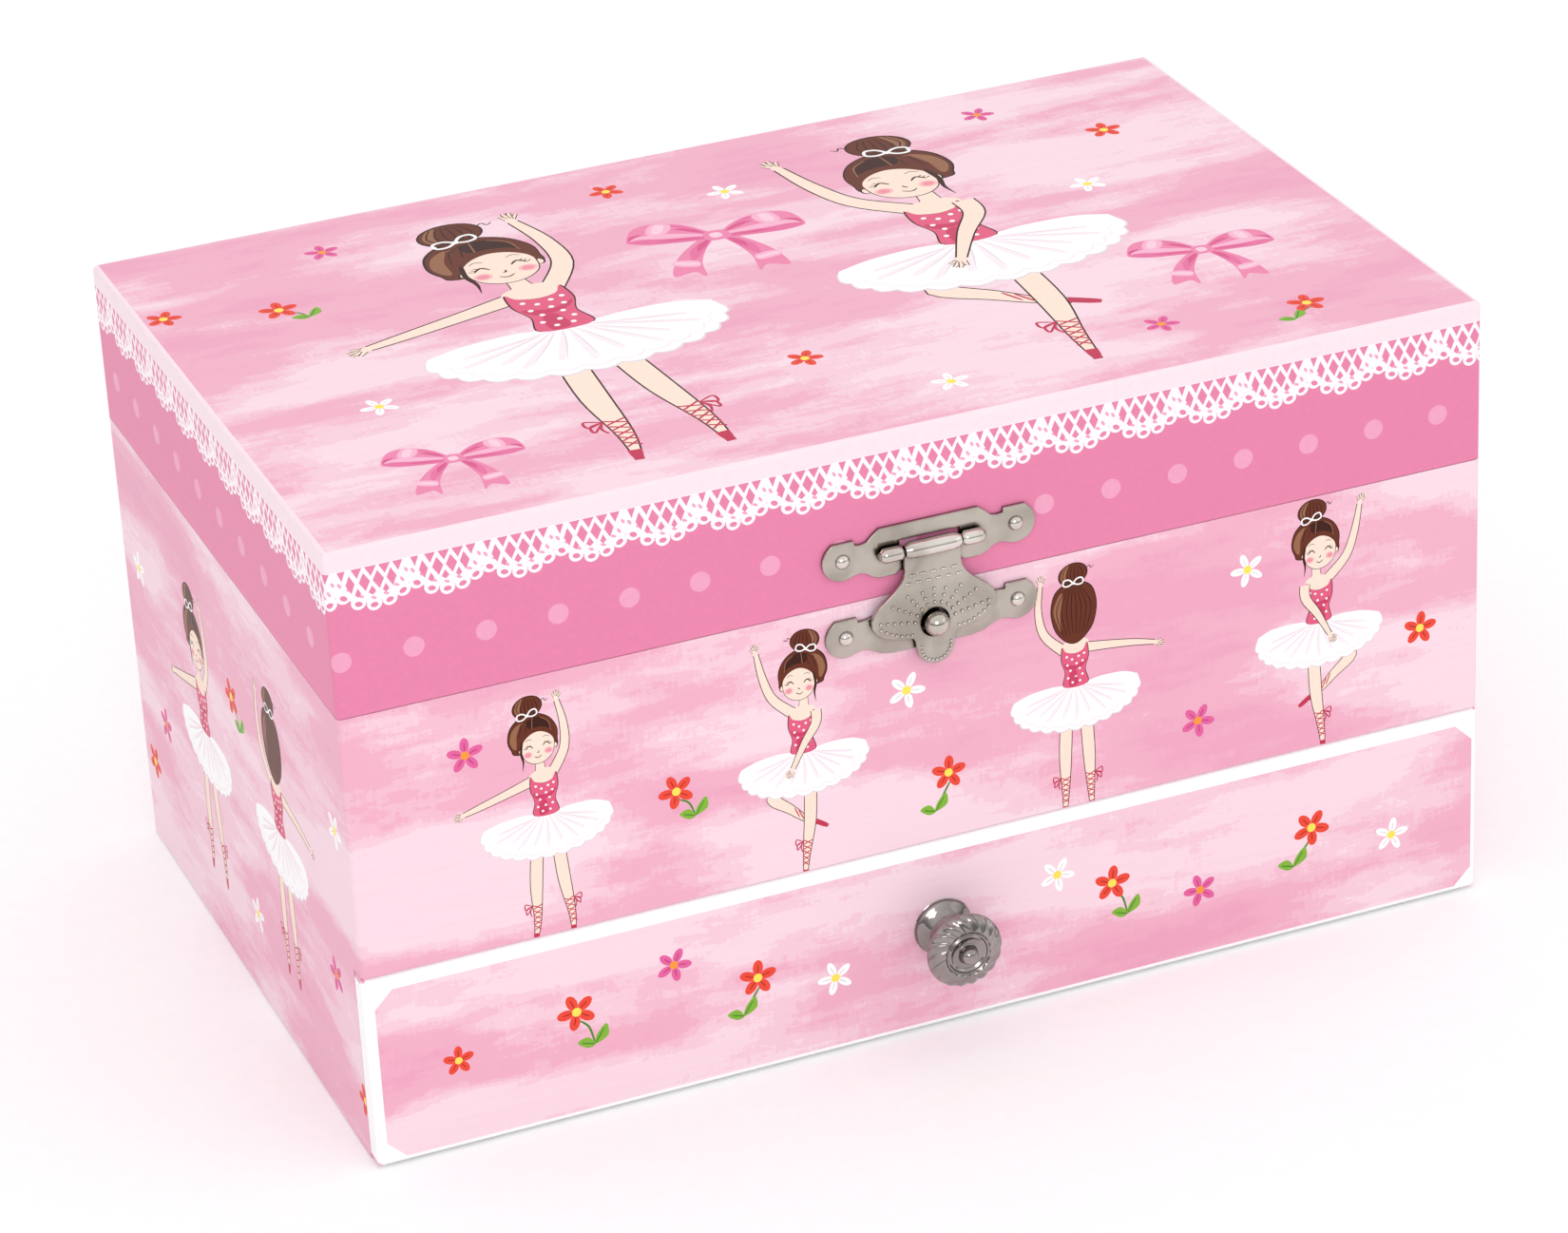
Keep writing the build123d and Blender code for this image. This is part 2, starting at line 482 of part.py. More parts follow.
def make_barrel():
    """Drum on the winding arbor; its crown teeth drive the pinion below the cylinder."""
    axis = (0, 1, 0)
    drum = rod((0, BARREL_FRONT, ARBOR_Z), axis, BARREL_BACK - BARREL_FRONT, BARREL_R)
    drum -= rod((0, BARREL_FRONT + 1, ARBOR_Z), axis, BARREL_BACK - BARREL_FRONT - 2, BARREL_R - 1)
    drum -= rod((0, BARREL_FRONT + 0.5, ARBOR_Z), axis, 20, ARBOR_R + RUN_FIT)
    inner, outer = CROWN_R - 1.5, CROWN_R + 1.5
    for i in range(CROWN_TEETH):
        angle = (i + 0.5) * 360 / CROWN_TEETH
        tooth = block(inner, outer, BARREL_FRONT - CROWN_H, BARREL_FRONT + 0.3, -0.42, 0.42)
        drum += Pos(0, 0, ARBOR_Z) * Rot(0, angle + 90, 0) * tooth
    nodes["spring_barrel"] = drum
    nodes["mainspring"] = mainspring()


def mainspring():
    """Coiled strip: half circles that grow by a constant step, from the arbor to the drum wall."""
    strip, growth, radius = 0.35, 0.33, 2.5
    start = (radius, 0)
    halves = []
    for i in range(26):
        side = 1 if i % 2 == 0 else -1
        end = (start[0] - side * 2 * radius, 0)
        top = ((start[0] + end[0]) / 2, side * radius)
        halves.append(ThreePointArc(start, top, end))
        start = end
        radius += growth
    ribbon = trace(Curve() + halves, strip)
    plane = Plane(origin=(0, BARREL_FRONT + 1.4, ARBOR_Z), x_dir=(1, 0, 0), z_dir=(0, 1, 0))
    return plane * extrude(ribbon, BARREL_BACK - BARREL_FRONT - 2.8)


def make_key():
    nodes["winding_arbor"] = rod((0, BARREL_FRONT + 0.6, ARBOR_Z), (0, 1, 0), 19.9, ARBOR_R)
    stem_y = HALF_D + 1.0
    stem = rod((0, stem_y, ARBOR_Z), (0, 1, 0), 6.5, 3.2)
    stem -= rod((0, stem_y - 1, ARBOR_Z), (0, 1, 0), 5.5, ARBOR_R + 0.01)
    wing = Pos(7.0, 0) * Circle(4.6) - Pos(7.0, 0) * Circle(2.0)
    wings = wing + Pos(-14.0, 0) * wing + Rectangle(6, 6.4)
    plane = Plane(origin=(0, stem_y + 8.0, ARBOR_Z - 1.1), z_dir=(0, 0, 1))
    nodes["winding_key"] = stem + plane * extrude(wings, 2.2)
    rings = []
    wire = 0.25
    for i in range(4):
        y = BARREL_BACK + 0.1 + wire + i * (2 * wire + 0.02)
        ring = Torus(ARBOR_R + 0.06 + wire, wire)
        rings.append(Plane(origin=(0, y, ARBOR_Z), z_dir=(0, 1, 0)) * ring)
    nodes["clutch_spring"] = Compound(children=rings)


def make_cylinder():
    """Brass cylinder with its pins, drive pinion below and wheel above, fixed on the spindle."""
    at = Pos(0, SPINDLE_Y, 0)
    tube = Pos(0, 0, CYL_Z[0]) * extrude(Circle(CYL_R) - Circle(SPINDLE_R), CYL_Z[1] - CYL_Z[0])
    pin_r, pin_h = TUNE_PIN
    for i in range(NOTES):
        z = CYL_Z[0] + (i + 0.5) * NOTE_PITCH
        for k in range(3):
            angle = 12 + (i * 97 + k * 131) % 336
            pin = rod((CYL_R - 0.4, 0, z), (1, 0, 0), pin_h + 0.4, pin_r)
            tube += Rot(0, 0, angle) * pin
    teeth_z = ARBOR_Z - CROWN_R
    disc = extrude(Circle(PINION_R - 1.6) - Circle(SPINDLE_R), 2.0)
    for i in range(PINION_TEETH):
        tooth = block(PINION_R - 1.8, PINION_R, -0.38, 0.38, 0, 2.0)
        disc += Rot(0, 0, 90 + i * 360 / PINION_TEETH) * tooth
    tube += Pos(0, 0, teeth_z - 1.0) * disc + Pos(0, 0, teeth_z) * extrude(
        Circle(PINION_R - 2.2) - Circle(SPINDLE_R), CYL_Z[0] - teeth_z + 0.2)
    nodes["pin_cylinder"] = at * tube
    wheel = gear(WHEEL_TEETH, WHEEL_Z[1] - WHEEL_Z[0], SPINDLE_R, IDLER_ANGLE)
    nodes["cylinder_wheel"] = at * Pos(0, 0, WHEEL_Z[0]) * wheel
    spindle = rod((0, SPINDLE_Y, LOW_ARM_Z), (0, 0, 1), PIVOT_Z - SPRING_HALF - LOW_ARM_Z, SPINDLE_R)
    nodes["spindle"] = spindle


def make_idler_and_fly():
    top = TOP_ARM_Z + ARM_T
    place = Pos(*IDLER_XY, 0)
    pinion_turn = 180 + IDLER_ANGLE + 180 / SMALL_TEETH
    idler = rod((0, 0, LOW_ARM_Z), (0, 0, 1), top - LOW_ARM_Z, PIVOT_R)
    idler += Pos(0, 0, WHEEL_Z[0] - 0.3) * gear(SMALL_TEETH, 3.2, PIVOT_R, pinion_turn)
    idler += Pos(0, 0, IDLER_Z[0]) * gear(IDLER_TEETH, IDLER_Z[1] - IDLER_Z[0], PIVOT_R, FLY_ANGLE)
    nodes["idler_wheel"] = place * idler
    fly = rod((0, 0, LOW_ARM_Z), (0, 0, 1), top - LOW_ARM_Z, PIVOT_R)
    fly += Pos(0, 0, IDLER_Z[0] - 0.3) * gear(SMALL_TEETH, 2.1, PIVOT_R,
                                              180 + FLY_ANGLE + 180 / SMALL_TEETH)
    fly += rod((0, 0, FAN_Z[0]), (0, 0, 1), FAN_Z[1] - FAN_Z[0], 1.6)
    fly += rod((0, 0, FAN_Z[1]), (0, 0, 1), 0.6, FAN_R + 0.3)
    for angle in (45, 135):
        fly += Rot(0, 0, angle) * block(-FAN_R, FAN_R, -0.3, 0.3, FAN_Z[0], FAN_Z[1])
    nodes["fly_governor"] = Pos(*FLY_XY, 0) * fly
    stop_bottom = FAN_Z[1] + 0.6 + 0.15
    stop_top = BOX_H - BOARD - MIRROR[2] - 0.3
    stop = rod((*STOP_XY, stop_bottom), (0, 0, 1), stop_top - stop_bottom, STOP_R)
    stop += Pos(*STOP_XY, stop_top - STOP_KNOB_R) * Sphere(STOP_KNOB_R)
    nodes["stop_rod"] = stop


# ---- dancer -------------------------------------------------------------------------------
def leaning():
    """Places dancer-axis coordinates (origin at the bending centre, Z along the body)."""
    return Pos(0, SPINDLE_Y, PIVOT_Z) * Rot(FOLD, 0, 0)


def make_spring():
    """Close-wound spring as the bent tube that its coils fill."""
    bend_r = SPRING_HALF / math.tan(math.radians(FOLD / 2))
    ring = Circle(SPRING_R) - Circle(SPRING_R - 2 * SPRING_WIRE)
    start = Plane(origin=(0, SPINDLE_Y, PIVOT_Z - SPRING_HALF), z_dir=(0, 0, 1))
    centre = Axis((0, SPINDLE_Y - bend_r, PIVOT_Z - SPRING_HALF), (1, 0, 0))
    nodes["dancer_spring"] = revolve(start * ring, centre, FOLD)


def make_dancer():
    place = leaning()
    cup = rod((0, 0, SPRING_HALF), (0, 0, 1), CUP_H, CUP_R)
    nodes["dancer_base"] = place * cup
    z = BODY_Z
    legs = Polyline((0, z), (1.3, z), (0.9, z + 3), (1.5, z + 8), (1.2, z + 11), (2.0, z + 14),
                    (2.6, z + 16.5), (1.8, z + 19.5), (2.3, z + 23), (2.1, z + 24.5), (0.9, z + 25.2),
                    (0.9, z + 26.2), (0, z + 26.2))
    body = revolve(make_face(Plane.XZ * (legs + Line((0, z + 26.2), (0, z)))), Axis.Z)
    body += Pos(0, 0, z + 28.6) * Sphere(2.8)
    body += Pos(0, 0.6, z + 31.6) * Sphere(1.3)
    arm_z = z + 24.0
    oval = Plane(origin=(0, -0.4, arm_z + 5.6), x_dir=(1, 0, 0), z_dir=(0, -1, 0)) * Torus(5.4, 0.7)
    gap = Pos(0, 0, arm_z + 11.3) * Box(1.6, 4, 3)
    lower = Pos(0, 0, arm_z - 0.6) * Box(3.0, 4, 2.4)
    body += oval - gap - lower
    nodes["dancer_figure"] = place * body
    waist = z + 16.6
    skirt = Polyline((2.75, waist), (TUTU_R, waist - 1.6), (TUTU_R, waist - 2.2),
                     (2.75, waist - 1.6), (2.75, waist))
    nodes["dancer_tutu"] = place * revolve(make_face(Plane.XZ * skirt), Axis.Z)


# ---- build and write ----------------------------------------------------------------------
make_case()
make_tray()
make_stage()
make_drawer()
make_knob()
make_lid()
make_hinges()
make_latch()
make_bedplate()
make_bracket()
make_comb()
make_barrel()
make_key()
make_cylinder()
make_idler_and_fly()
make_spring()
make_dancer()

os.makedirs("parts", exist_ok=True)
for name, shape in nodes.items():
    shape.label = name
    export_step(shape, f"parts/{name}.step")
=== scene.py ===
import bpy
import bmesh
import json
import numpy as np
from math import acos, ceil, cos, degrees, exp, floor, hypot, pi, radians, sin, sqrt
from mathutils import Matrix, Vector, noise
from mathutils.geometry import delaunay_2d_cdt


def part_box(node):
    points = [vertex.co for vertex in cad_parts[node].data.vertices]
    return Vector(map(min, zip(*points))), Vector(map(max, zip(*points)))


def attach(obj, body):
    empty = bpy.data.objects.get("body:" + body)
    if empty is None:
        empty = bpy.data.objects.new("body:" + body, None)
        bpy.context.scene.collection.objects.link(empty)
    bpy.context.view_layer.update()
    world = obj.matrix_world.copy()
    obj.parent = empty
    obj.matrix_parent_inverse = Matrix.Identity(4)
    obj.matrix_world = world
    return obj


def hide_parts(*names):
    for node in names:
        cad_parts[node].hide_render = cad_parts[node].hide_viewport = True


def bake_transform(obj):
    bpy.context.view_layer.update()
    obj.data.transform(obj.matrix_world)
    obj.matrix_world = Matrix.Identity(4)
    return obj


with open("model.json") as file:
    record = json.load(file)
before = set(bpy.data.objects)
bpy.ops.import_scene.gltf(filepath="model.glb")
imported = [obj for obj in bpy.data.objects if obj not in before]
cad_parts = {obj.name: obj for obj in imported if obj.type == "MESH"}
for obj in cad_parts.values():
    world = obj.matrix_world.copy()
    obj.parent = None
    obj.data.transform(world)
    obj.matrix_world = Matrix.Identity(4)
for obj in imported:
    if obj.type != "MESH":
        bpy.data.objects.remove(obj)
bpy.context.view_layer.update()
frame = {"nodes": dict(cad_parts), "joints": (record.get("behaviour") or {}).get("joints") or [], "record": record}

MM = 0.001
nodes = frame["nodes"]


# ---- sizes read from the frame -------------------------------------------------------------
def span(node):
    """Lowest and highest corners of a node in millimetres."""
    low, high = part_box(node)
    return low / MM, high / MM


def centre(node):
    """Middle of a node's box in millimetres: x, y and z."""
    return [(a + b) / 2 for a, b in zip(*span(node))]


low_top, high_top = span("lid_top")
low_drawer, high_drawer = span("drawer_front")
W = high_top.x - low_top.x                  # outside width
D = high_top.y - low_top.y                  # outside depth
H = high_top.z                              # outside height
RIM = span("case_left_side")[1].z           # top of the case
LID_FOOT = span("lid_front_wall")[0].z      # lowest edge of the lid
DRAWER_TOP = high_drawer.z
DRAWER_FOOT = low_drawer.z
DRAWER_T = high_drawer.y - low_drawer.y     # thickness of the drawer's front
FRONT_FOOT = span("case_front_panel")[0].z  # top of the drawer's opening
SHEET = 0.12                                # printed paper stands this proud of the boards
PAPER_THICK = SHEET - 0.02                  # its back stays clear of the board
EDGE = 0.8                                  # rounding of the wrapped edges


# ---- colours -------------------------------------------------------------------------------
def linear(hex_code):
    """Linear RGB of an sRGB hex code."""
    parts = [int(hex_code[i:i + 2], 16) / 255 for i in (0, 2, 4)]
    return tuple(c / 12.92 if c <= 0.04045 else ((c + 0.055) / 1.055) ** 2.4 for c in parts)


def inks(codes):
    return [linear(code) for code in codes.split()]


WASH_PALE, WASH_LIGHT, WASH_SOFT, WASH_MID, WASH_DEEP = inks("F7DCE6 F4CEDB F1BED0 EEAFC5 EBA4BF")
WHITE, PALE, THREAD, BAND, BAND_DOT = inks("FFFFFF F9E2EA FEF3F8 E684AA EFA4C1")
LINE, HAIR, HAIR_DARK, HAIR_LIGHT = inks("2E150C 662D1B 3A140B 96664A")
SKIN, CHEEK, CHEEK_EDGE = inks("FCE2D2 EE96A5 F8BDBF")
BODICE, BODICE_DARK, SLIPPER = inks("E25E82 CC3F66 C23353")
NET_SHADE, NET_DARK = inks("FCECF3 E6D8E0")
RED, RED_DARK, ROSE, ROSE_DARK = inks("EC4A37 B92A22 E4629E BD3F7E")
SUN, ORANGE, LEAF, LEAF_DARK = inks("FFE45E F59A3C 82B53A 4D8A2C")
RIBBON, RIBBON_DARK, RIBBON_LIGHT = inks("EC87AE D9588B F8CDDE")
RIBBON_SHADE, RIBBON_SOFT = inks("E572A1 F5B5CE")


# ---- small helpers -------------------------------------------------------------------------
def add_object(name, data):
    thing = bpy.data.objects.new(name, data)
    bpy.context.scene.collection.objects.link(thing)
    return thing


def angles(count, start=0.0, sweep=2 * pi, ends=False):
    """Evenly spaced angles in radians; with ends, the last one closes the sweep."""
    return [start + sweep * k / count for k in range(count + 1 if ends else count)]


def shares(count):
    """Values from 0 to 1 in the given number of steps."""
    return [k / count for k in range(count + 1)]


def limited(value, low=0.0, high=1.0):
    return min(max(value, low), high)


# ---- flat drawing --------------------------------------------------------------------------
def smooth(points, closed, steps):
    """Catmull-Rom curve through the points."""
    count = len(points)
    out = []
    segments = count if closed else count - 1
    for i in range(segments):
        if closed:
            a, b, c, d = (points[(i + k - 1) % count] for k in range(4))
        else:
            a, b, c, d = (points[min(max(i + k - 1, 0), count - 1)] for k in range(4))
        for k in range(steps):
            t = k / steps
            out.append(tuple(0.5 * (2 * b[j] + (c[j] - a[j]) * t
                                    + (2 * a[j] - 5 * b[j] + 4 * c[j] - d[j]) * t * t
                                    + (3 * b[j] - a[j] - 3 * c[j] + d[j]) * t ** 3)
                             for j in range(len(b))))
    if not closed:
        out.append(tuple(points[-1]))
    return out


class Pen:
    """Draws shapes in its own millimetres, moved, scaled and perhaps mirrored onto a sheet."""

    def __init__(self, shapes, x=0.0, y=0.0, scale=1.0, flip=1, steps=5):
        self.shapes = shapes
        self.place = (x, y, scale, flip)
        self.steps = steps

    def moved(self, x, y, flip=1):
        """A pen whose origin is at x, y of this one; flip -1 mirrors what it draws."""
        x0, y0, scale, side = self.place
        return Pen(self.shapes, x0 + side * scale * x, y0 + scale * y, scale, side * flip,
                   self.steps)

    def polygon(self, points, colour):
        x, y, scale, flip = self.place
        placed = [(x + flip * scale * px, y + scale * py) for px, py in points]
        self.shapes.append((placed, colour))

    def blob(self, points, colour):
        self.polygon(smooth(points, True, self.steps), colour)

    def ellipse(self, x, y, rx, ry, colour, turn=0.0, count=18):
        c, s = cos(radians(turn)), sin(radians(turn))
        ring = [(rx * cos(a), ry * sin(a)) for a in angles(count)]
        self.polygon([(x + u * c - v * s, y + u * s + v * c) for u, v in ring], colour)

    def stroke(self, points, colour, width, taper=True):
        """A line along a smooth path; width is one number, or one per point."""
        widths = width if isinstance(width, (list, tuple)) else [width] * len(points)
        path = smooth([(p[0], p[1], w) for p, w in zip(points, widths)], False, self.steps)
        left, right = [], []
        for i, (px, py, w) in enumerate(path):
            a, b = path[max(i - 1, 0)], path[min(i + 1, len(path) - 1)]
            dx, dy = b[0] - a[0], b[1] - a[1]
            size = hypot(dx, dy) or 1.0
            if taper:
                share = i / (len(path) - 1)
                w *= 0.35 + 0.65 * sin(pi * limited(share, 0.04, 0.96)) ** 0.5
            nx, ny = -dy / size * w / 2, dx / size * w / 2
            left.append((px + nx, py + ny))
            right.append((px - nx, py - ny))
        self.polygon(left + right[::-1], colour)

    def limb(self, points, widths, colour, line=LINE, edge=0.6):
        """A filled limb with a thin outline on both sides."""
        self.stroke(points, line, [w + edge for w in widths], taper=False)
        self.stroke(points, colour, widths, taper=False)


# ---- printed motifs ------------------------------------------------------------------------
def draw_flower(pen, petal, petal_dark, heart, wide, turn):
    """Five petals about a round heart, about 6 mm across at scale 1."""
    spokes = [(cos(a), sin(a), a) for a in angles(5, radians(90 + turn))]
    for c, s, a in spokes:
        pen.ellipse(1.75 * c, 1.75 * s, 1.35, wide, petal, degrees(a), 12)
    for c, s, _ in spokes:
        pen.stroke([(0.7 * c, 0.7 * s), (2.2 * c, 2.2 * s)], petal_dark, 0.22)
    pen.ellipse(0, 0, 0.75, 0.75, heart, 0, 10)


def draw_leaves(pen, x, y):
    """Two leaves at the end of a short stem that runs down from the flower."""
    pen.stroke([(0.3, -1.5), (x * 0.5 + 0.5, y * 0.5), (x, y)], LEAF_DARK, 0.36)
    pen = pen.moved(x, y)
    pen.blob([(0, 0), (0.4, 1.6), (1.9, 3.0), (2.1, 1.0)], LEAF)
    pen.blob([(0, 0), (-1.2, -0.4), (-2.7, 0.8), (-1.1, 1.4)], LEAF)
    pen.stroke([(0, 0), (1.5, 2.3)], LEAF_DARK, 0.25)
    pen.stroke([(0, 0), (-2.0, 0.6)], LEAF_DARK, 0.25)


# Colours of petals, their veins and the heart, and half the width of a petal.
FLOWERS = {"red": (RED, RED_DARK, SUN, 0.85), "rose": (ROSE, ROSE_DARK, ORANGE, 0.78),
           "white": (WHITE, NET_DARK, SUN, 0.68)}
FLOWER_RADIUS = 3.1                         # of a flower at scale 1


def draw_flowers(shapes, places, middle=0.0):
    """places: (kind, x from the middle, y, radius, and an offset to the leaves if it has any)."""
    for i, (kind, x, y, radius, *leaves) in enumerate(places):
        pen = Pen(shapes, middle + x, y, radius / FLOWER_RADIUS, steps=4)
        if leaves:
            draw_leaves(pen, *leaves[0])
        draw_flower(pen, *FLOWERS[kind], turn=23 * i)


# One half of a satin bow: (colour, widths of a stroke or None for a filled shape, points).
HALF_BOW = (
    (RIBBON, None, [(0.6, -0.6), (2.6, -5.0), (4.0, -10.0), (4.2, -15.4), (5.8, -13.4),
                    (9.2, -14.4), (8.0, -8.6), (5.2, -3.6), (1.8, 0.2)]),
    (RIBBON_SHADE, [1.0, 2.2, 0.6], [(1.2, -1.0), (4.0, -5.2), (5.4, -9.4)]),
    (RIBBON_DARK, [0.6, 1.3, 0.3], [(1.6, -1.4), (3.0, -3.4), (4.0, -5.6)]),
    (RIBBON_SOFT, None, [(4.6, -9.2), (8.0, -8.4), (8.5, -10.2), (4.9, -11.4)]),
    (RIBBON_LIGHT, None, [(4.8, -9.9), (8.0, -9.0), (8.2, -9.7), (4.9, -10.7)]),
    (RIBBON_SOFT, None, [(0.8, 1.2), (3.6, 4.8), (7.2, 6.9), (10.8, 7.1), (13.2, 5.2),
                         (14.4, 0.8), (11.0, -0.8), (6.0, -1.2), (1.4, -1.1)]),
    (RIBBON_SHADE, None, [(14.4, 0.8), (12.2, 1.6), (8.0, 0.9), (1.8, 0.2), (1.4, -1.1),
                          (6.0, -1.2), (11.0, -0.8)]),
    (RIBBON_DARK, [0.3, 0.6, 0.2], [(2.0, -0.3), (6.0, -0.1), (9.6, 0.2)]),
    (RIBBON, None, [(0.8, 0.9), (3.6, 4.8), (7.2, 6.9), (10.8, 7.1), (13.2, 5.2), (14.4, 0.8),
                    (12.6, 2.6), (9.0, 3.1), (4.6, 2.0)]),
    (RIBBON_DARK, [0.5, 1.2, 0.3], [(1.6, 1.4), (4.0, 3.4), (6.4, 4.4)]),
    (RIBBON_SHADE, [0.4, 1.0, 0.3], [(3.0, 3.4), (5.4, 5.2), (7.4, 6.1)]),
    (RIBBON_SOFT, None, [(6.6, 6.3), (9.6, 6.9), (10.8, 3.4), (7.6, 3.2)]),
    (RIBBON_LIGHT, None, [(7.6, 6.3), (9.1, 6.5), (9.9, 3.6), (8.4, 3.5)]),
    (RIBBON_DARK, [0.4, 0.9, 0.2], [(11.6, 3.6), (13.2, 2.8), (14.0, 1.4)]))


def draw_bow(pen):
    """Satin ribbon bow, about 30 mm wide, its right loop tipped down a little."""
    c, s = cos(radians(12)), sin(radians(12))
    for side in (-1, 1):
        for colour, widths, points in HALF_BOW:
            turned = [(side * u * c + v * s, v * c - side * u * s) for u, v in points]
            if widths:
                pen.stroke(turned, colour, widths)
            else:
                pen.blob(turned, colour)
    pen.blob([(-1.8, 1.7), (0, 2.1), (1.9, 1.4), (2.0, -1.2), (0, -1.8), (-1.9, -1.2)], RIBBON)
    pen.blob([(-1.0, 1.0), (0.6, 1.1), (0.8, -0.5), (-0.8, -0.7)], RIBBON_LIGHT)


def draw_hair_bow(pen, tilt):
    """Small white bow: two open loops and a knot."""
    c, s = cos(radians(tilt)), sin(radians(tilt))
    for side in (-1, 1):
        loop = [(0, 0), (1.6, 1.5), (3.5, 1.4), (3.7, -0.4), (1.9, -0.9), (0, 0)]
        pen.stroke([(side * u * c - v * s, side * u * s + v * c) for u, v in loop], WHITE, 0.55,
                   taper=False)
    pen.ellipse(0, 0, 0.7, 0.6, WHITE, 0, 8)


def draw_bun(pen):
    pen.ellipse(0, 0, 5.75, 4.45, LINE, 8, 26)
    pen.ellipse(0, 0, 5.4, 4.1, HAIR, 8, 26)
    pen.blob([(-4.6, 0.4), (-3.2, 2.9), (-1.4, 3.4), (-2.6, 0.4), (-3.0, -2.6), (-4.4, -1.6)],
             HAIR_LIGHT)
    for k in range(6):
        u = -3.9 + 1.5 * k
        pen.stroke([(u * 0.45, -3.7), (u * 1.02, -0.3), (u * 0.62, 3.3)], HAIR_DARK, 0.32)
    pen.stroke([(5.0, 1.2), (6.2, 2.2), (6.9, 1.2), (7.9, 1.9)], LINE, 0.3)


def draw_head(pen):
    """Face towards the viewer, eyes closed; the pen starts in the middle of the face."""
    draw_bun(pen.moved(-3.0, 16.6))
    hair = [(-10.8, 4.6), (-9.6, 9.4), (-5.8, 12.7), (-0.6, 13.5), (4.4, 11.2), (7.2, 6.9),
            (7.4, 2.6), (5.8, -1.2), (-7.4, -1.4), (-9.7, 1.0)]
    pen.blob([(1.035 * u - 0.03, 4 + 1.04 * (v - 4)) for u, v in hair], LINE)
    pen.blob(hair, HAIR)
    pen.blob([(-10.3, 4.6), (-9.0, 8.6), (-6.0, 10.6), (-7.6, 6.0), (-7.9, 1.2), (-9.2, 1.4)],
             HAIR_LIGHT)
    pen.blob([(-3.4, 11.3), (0.6, 12.0), (3.9, 9.8), (5.4, 6.4), (1.2, 8.0), (-2.8, 8.0)],
             HAIR_DARK)
    for k in range(7):
        u = -8.9 + 2.35 * k
        pen.stroke([(u * 0.42 - 0.6, 12.2 - 0.02 * u * u), (u * 0.86, 9.4),
                    (u * 1.02, 5.8 - 0.10 * abs(u))], HAIR_DARK if k % 3 else HAIR_LIGHT, 0.3)
    for side in (-1, 1):
        pen.ellipse(side * 6.5, -0.5, 0.95, 1.25, LINE, 0, 10)
        pen.ellipse(side * 6.4, -0.5, 0.7, 1.0, SKIN, 0, 10)
    face = [(-6.2, 1.4), (-5.6, 4.2), (-3.2, 6.3), (0.2, 6.9), (3.6, 6.0), (5.7, 3.6), (6.1, 0.4),
            (5.3, -3.2), (2.8, -5.6), (-0.3, -6.4), (-3.2, -5.6), (-5.4, -3.2)]
    pen.blob([(1.035 * u, 1.035 * v) for u, v in face], LINE)
    pen.blob(face, SKIN)
    pen.blob([(-6.5, 0.4), (-6.3, 4.0), (-3.8, 7.0), (0.2, 7.9), (4.2, 6.8), (6.3, 3.4),
              (6.4, 0.2), (5.6, 3.0), (3.2, 5.3), (0.0, 6.2), (-3.0, 5.2), (-5.3, 3.0)], HAIR)
    pen.stroke([(-5.7, 3.4), (-6.4, -1.0), (-5.8, -4.8), (-6.3, -8.4)], HAIR_DARK,
               [1.2, 1.0, 0.7, 0.2])
    for side, lift in ((-1, 0.0), (1, 0.35)):
        eye = pen.moved(0, lift, flip=side)
        eye.ellipse(3.9, -2.4, 1.65, 1.3, CHEEK_EDGE, 0, 14)
        eye.ellipse(3.9, -2.4, 1.1, 0.85, CHEEK, 0, 12)
        eye.stroke([(1.9, 0), (3.2, 1.15), (4.6, -0.1)], LINE, 0.46)
        for k in range(3):
            u = 3.6 + 0.55 * k
            eye.stroke([(u, 0.9 - 0.45 * k), (u + 0.7, 1.5 - 0.5 * k)], LINE, 0.22)
        eye.stroke([(2.0, 3.2), (3.3, 3.7), (4.5, 3.0)], LINE, 0.2)
    pen.stroke([(0.3, -1.3), (0.1, -2.0), (-0.4, -2.1)], LINE, 0.36)
    pen.stroke([(-1.5, -3.4), (-0.2, -4.1), (1.2, -3.3)], LINE, 0.32)
    draw_hair_bow(pen.moved(-3.2, 13.2), 12)


def draw_back_head(pen):
    """Head from behind: bun, then hair to below the shoulders."""
    draw_bun(pen.moved(0, 16.0))
    hair = [(-8.6, 3.0), (-7.0, 9.6), (-2.6, 12.6), (2.6, 12.6), (7.0, 9.6), (8.6, 3.0),
            (7.4, -4.0), (4.6, -8.2), (1.2, -10.6), (-1.8, -10.4), (-4.8, -8.0), (-7.4, -3.8)]
    pen.blob([(1.04 * u, 1.03 * v) for u, v in hair], LINE)
    pen.blob(hair, HAIR)
    pen.blob([(-7.8, 3.0), (-5.8, 8.4), (-4.0, 9.0), (-5.2, 1.0), (-5.0, -5.0), (-6.2, -3.0)],
             HAIR_LIGHT)
    for k in range(8):
        u = -6.6 + 1.9 * k
        pen.stroke([(u * 0.35, 11.4), (u, 3.0), (u * 0.62, -7.4)], HAIR_DARK, 0.36)
    draw_hair_bow(pen.moved(0, 12.6), 0)


def draw_hand(pen, x, y, turn):
    """Palm and four slim fingers; turn is the direction that they point in."""
    for bend, reach in ((-34, 2.8), (-10, 3.5), (8, 3.5), (30, 2.8)):
        angle = radians(turn + bend)
        tip = (x + reach * cos(angle), y + reach * sin(angle))
        pen.limb([(x, y), tip], [1.0, 0.4], SKIN, edge=0.35)
    pen.ellipse(x, y, 1.15, 0.9, SKIN, turn, 12)


